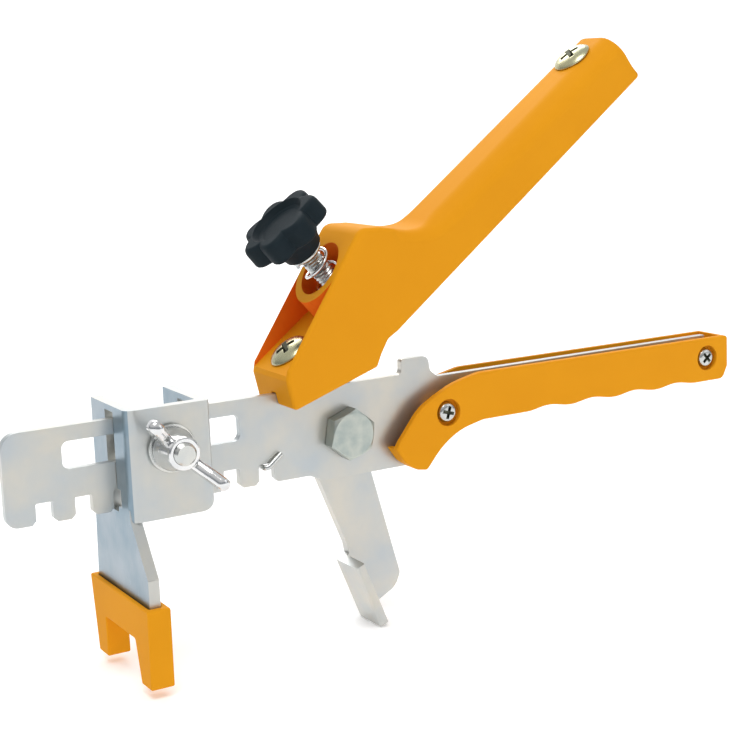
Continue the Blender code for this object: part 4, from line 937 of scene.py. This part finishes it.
def clamp():
    collar("clamp_washer", (CLAMP_X, 3.3, CLAMP_Z), (0, 1, 0), BOLT_CLEARANCE, 9.4, 1.6, "bracket_group")
    collar("clamp_sleeve", (CLAMP_X, -8.2, CLAMP_Z), (0, 1, 0), BOLT_CLEARANCE, 7.0, 7.9, "bracket_group")
    head = 5.2
    length = 26.6 + head
    profile = [(0.0, -length), (3.2, -length), (4.0, 0.8 - length)]
    profile += ring_thread(4.0, 1.0 - length, 25.0, M8_PITCH, M8_DEPTH)
    profile += [(4.0, -5.0), (4.0, 0.0), (8.4, 0.0), (8.4, 1.2), (7.9, 2.3), (6.8, 3.3), (5.2, 4.1), (3.0, 4.55),
                (0.0, 4.7)]
    bolt = turned("clamp_bolt_visual", profile, (CLAMP_X, head, CLAMP_Z), (0, 1, 0), 48)
    soften(bolt, 0.0)
    show(bolt, "bracket_group", ZINC_BRIGHT, "zinc_steel", "clamp_bolt")
    base = BRACKET_FRONT - GAP
    thick = 1.5
    collar("wing_washer", (CLAMP_X, base, CLAMP_Z), (0, -1, 0), BOLT_CLEARANCE, 8.6, thick, "wing_carriage", 0.3)
    foot = base - thick - GAP
    body = [(4.1, 0.0), (7.4, 0.0), (7.6, 0.3), (7.6, 1.6), (7.2, 2.4), (6.6, 4.5), (6.0, 9.0), (5.7, 10.0),
            (5.2, 10.4), (4.1, 10.4)]
    nut = turned("wing_nut_visual", body, (CLAMP_X, foot, CLAMP_Z), (0, -1, 0), 96)
    for sign in (-1.0, 1.0):
        unite(nut, wing_blade(sign, foot))
    soften(nut, 0.3, 3, 35.0)
    show(nut, "wing", CHROME, "bright_chrome", "wing_nut")


def wing_blade(sign, foot):
    """One wing: a rounded slab that leans outwards and thickens at its ear."""
    outline = rounded([
        (4.9 * sign, 1.2, 0.0), (4.9 * sign, 8.4, 0.0), (10.5 * sign, 13.6, 4.0), (15.2 * sign, 17.2, 3.0),
        (19.0 * sign, 16.0, 2.6), (18.6 * sign, 11.2, 3.0), (12.6 * sign, 6.0, 6.0), (8.0 * sign, 2.0, 3.0)], 12.0)
    if sign > 0:
        outline = outline[::-1]
    half, steps = 2.2, 4
    rings = []
    for k in range(-steps, steps + 1):
        angle = pi / 2 * k / steps
        inset = 1.5 * (1 - cos(angle))
        ring = []
        for out, rise in shrink(outline, inset):
            x, z = offset((CLAMP_X, CLAMP_Z), -45.0, out, half * sin(angle))
            ring.append((x, foot - rise, z))
        rings.append(ring)
    return loft(rings, "wing_left" if sign < 0 else "wing_right")


# ---------------------------------------------------------------- build
main_plate()
grip_shell("lower_grip_front", SHELL_FRONT, MIDDLE_Y - GAP / 2)
grip_shell("lower_grip_back", SHELL_BACK, MIDDLE_Y + GAP / 2)
grip_screws()
pivot_hardware()
return_spring()
lever_plate()
upper_handle()
handle_fasteners()
knob()
bracket()
fork_shoe()
clamp()


# ---------------------------------------------------------------- camera, floor and light
def camera():
    """Looks at the tool from the front left and above, with its place in the tool's frame."""
    azimuth, elevation, roll = radians(30.025), radians(9.652), radians(-2.277)
    ahead = Vector((sin(azimuth) * cos(elevation), cos(azimuth) * cos(elevation), -sin(elevation)))
    level = Vector((cos(azimuth), -sin(azimuth), 0.0))
    upright = level.cross(ahead)
    right = level * cos(roll) + upright * sin(roll)
    up = upright * cos(roll) - level * sin(roll)
    data = bpy.data.cameras.new("camera")
    data.sensor_width = 36.0
    data.lens = 79.727
    data.shift_x, data.shift_y = -0.030973, -0.039589
    data.clip_start, data.clip_end = 0.05, 20.0
    eye = bpy.data.objects.new("camera", data)
    bpy.context.scene.collection.objects.link(eye)
    place = Matrix((right, up, -ahead)).transposed().to_4x4()
    place.translation = PIVOT + Vector((-281.22, -520.50, 136.44)) * MM
    eye.matrix_world = place
    bpy.context.scene.camera = eye


def area_light(name, place, target, size, energy, colour=(1.0, 1.0, 1.0)):
    data = bpy.data.lights.new(name, "AREA")
    data.shape = "RECTANGLE"
    data.size, data.size_y = size
    data.energy = energy
    data.color = colour
    lamp = bpy.data.objects.new(name, data)
    lamp.location = place
    lamp.rotation_euler = (Vector(target) - Vector(place)).to_track_quat("-Z", "Y").to_euler()
    bpy.context.scene.collection.objects.link(lamp)


def studio():
    floor_z = CAD_BOX[0][2] - 0.0005
    bm = bmesh.new()
    reach, rise, radius, steps = 3.0, 2.4, 0.8, 12
    profile = [(-reach, floor_z), (1.2, floor_z)]
    for k in range(1, steps + 1):
        angle = pi / 2 * k / steps
        profile.append((1.2 + radius * sin(angle), floor_z + radius * (1 - cos(angle))))
    profile.append((1.2 + radius, rise))
    turn = Matrix.Rotation(radians(-30.0), 3, "Z")
    rows = [[bm.verts.new(turn @ Vector((x, y, z))) for x in (-4.0, 4.0)] for y, z in profile]
    for a, b in zip(rows, rows[1:]):
        bm.faces.new((a[0], a[1], b[1], b[0]))
    mesh = bpy.data.meshes.new("floor")
    bm.to_mesh(mesh)
    bm.free()
    mesh.shade_smooth()
    look, _, shader = new_material("pale_floor")
    shader.inputs["Base Color"].default_value = (0.97, 0.97, 0.97, 1.0)
    shader.inputs["Roughness"].default_value = 0.9
    shader.inputs["Emission Color"].default_value = (1.0, 1.0, 1.0, 1.0)
    shader.inputs["Emission Strength"].default_value = 0.16
    mesh.materials.append(look)
    floor = bpy.data.objects.new("floor", mesh)
    bpy.context.scene.collection.objects.link(floor)
    world = bpy.data.worlds.new("studio")
    world.use_nodes = True
    tree = world.node_tree
    where = tree.nodes.new("ShaderNodeTexCoord")
    parts = tree.nodes.new("ShaderNodeSeparateXYZ")
    tree.links.new(where.outputs["Generated"], parts.inputs["Vector"])
    sky = ramp(tree, spread(tree, parts.outputs["Z"], -0.2, 1.0, "From"),
               [(0.0, (0.55, 0.58, 0.62, 1.0)), (0.35, (0.55, 0.58, 0.62, 1.0)), (0.6, (1.25, 1.25, 1.25, 1.0))])
    tree.links.new(sky, tree.nodes["Background"].inputs["Color"])
    tree.nodes["Background"].inputs["Strength"].default_value = 0.55
    bpy.context.scene.world = world
    area_light("wall", (0.45, 0.80, 1.5), (1.0, 1.75, 1.0), (1.6, 1.0), 10.0)
    area_light("key", (-0.45, -0.45, 1.45), (0.0, 0.0, 0.0), (0.8, 0.8), 10.0)
    area_light("fill", (0.9, -0.9, 0.5), (0.0, 0.0, 0.0), (0.8, 0.8), 1.5)
    area_light("back", (0.3, 1.1, 1.0), (0.0, 0.0, 0.0), (1.0, 0.6), 7.0)
    bpy.context.scene.view_settings.view_transform = "Standard"
    bpy.context.scene.view_settings.look = "None"


camera()
studio()
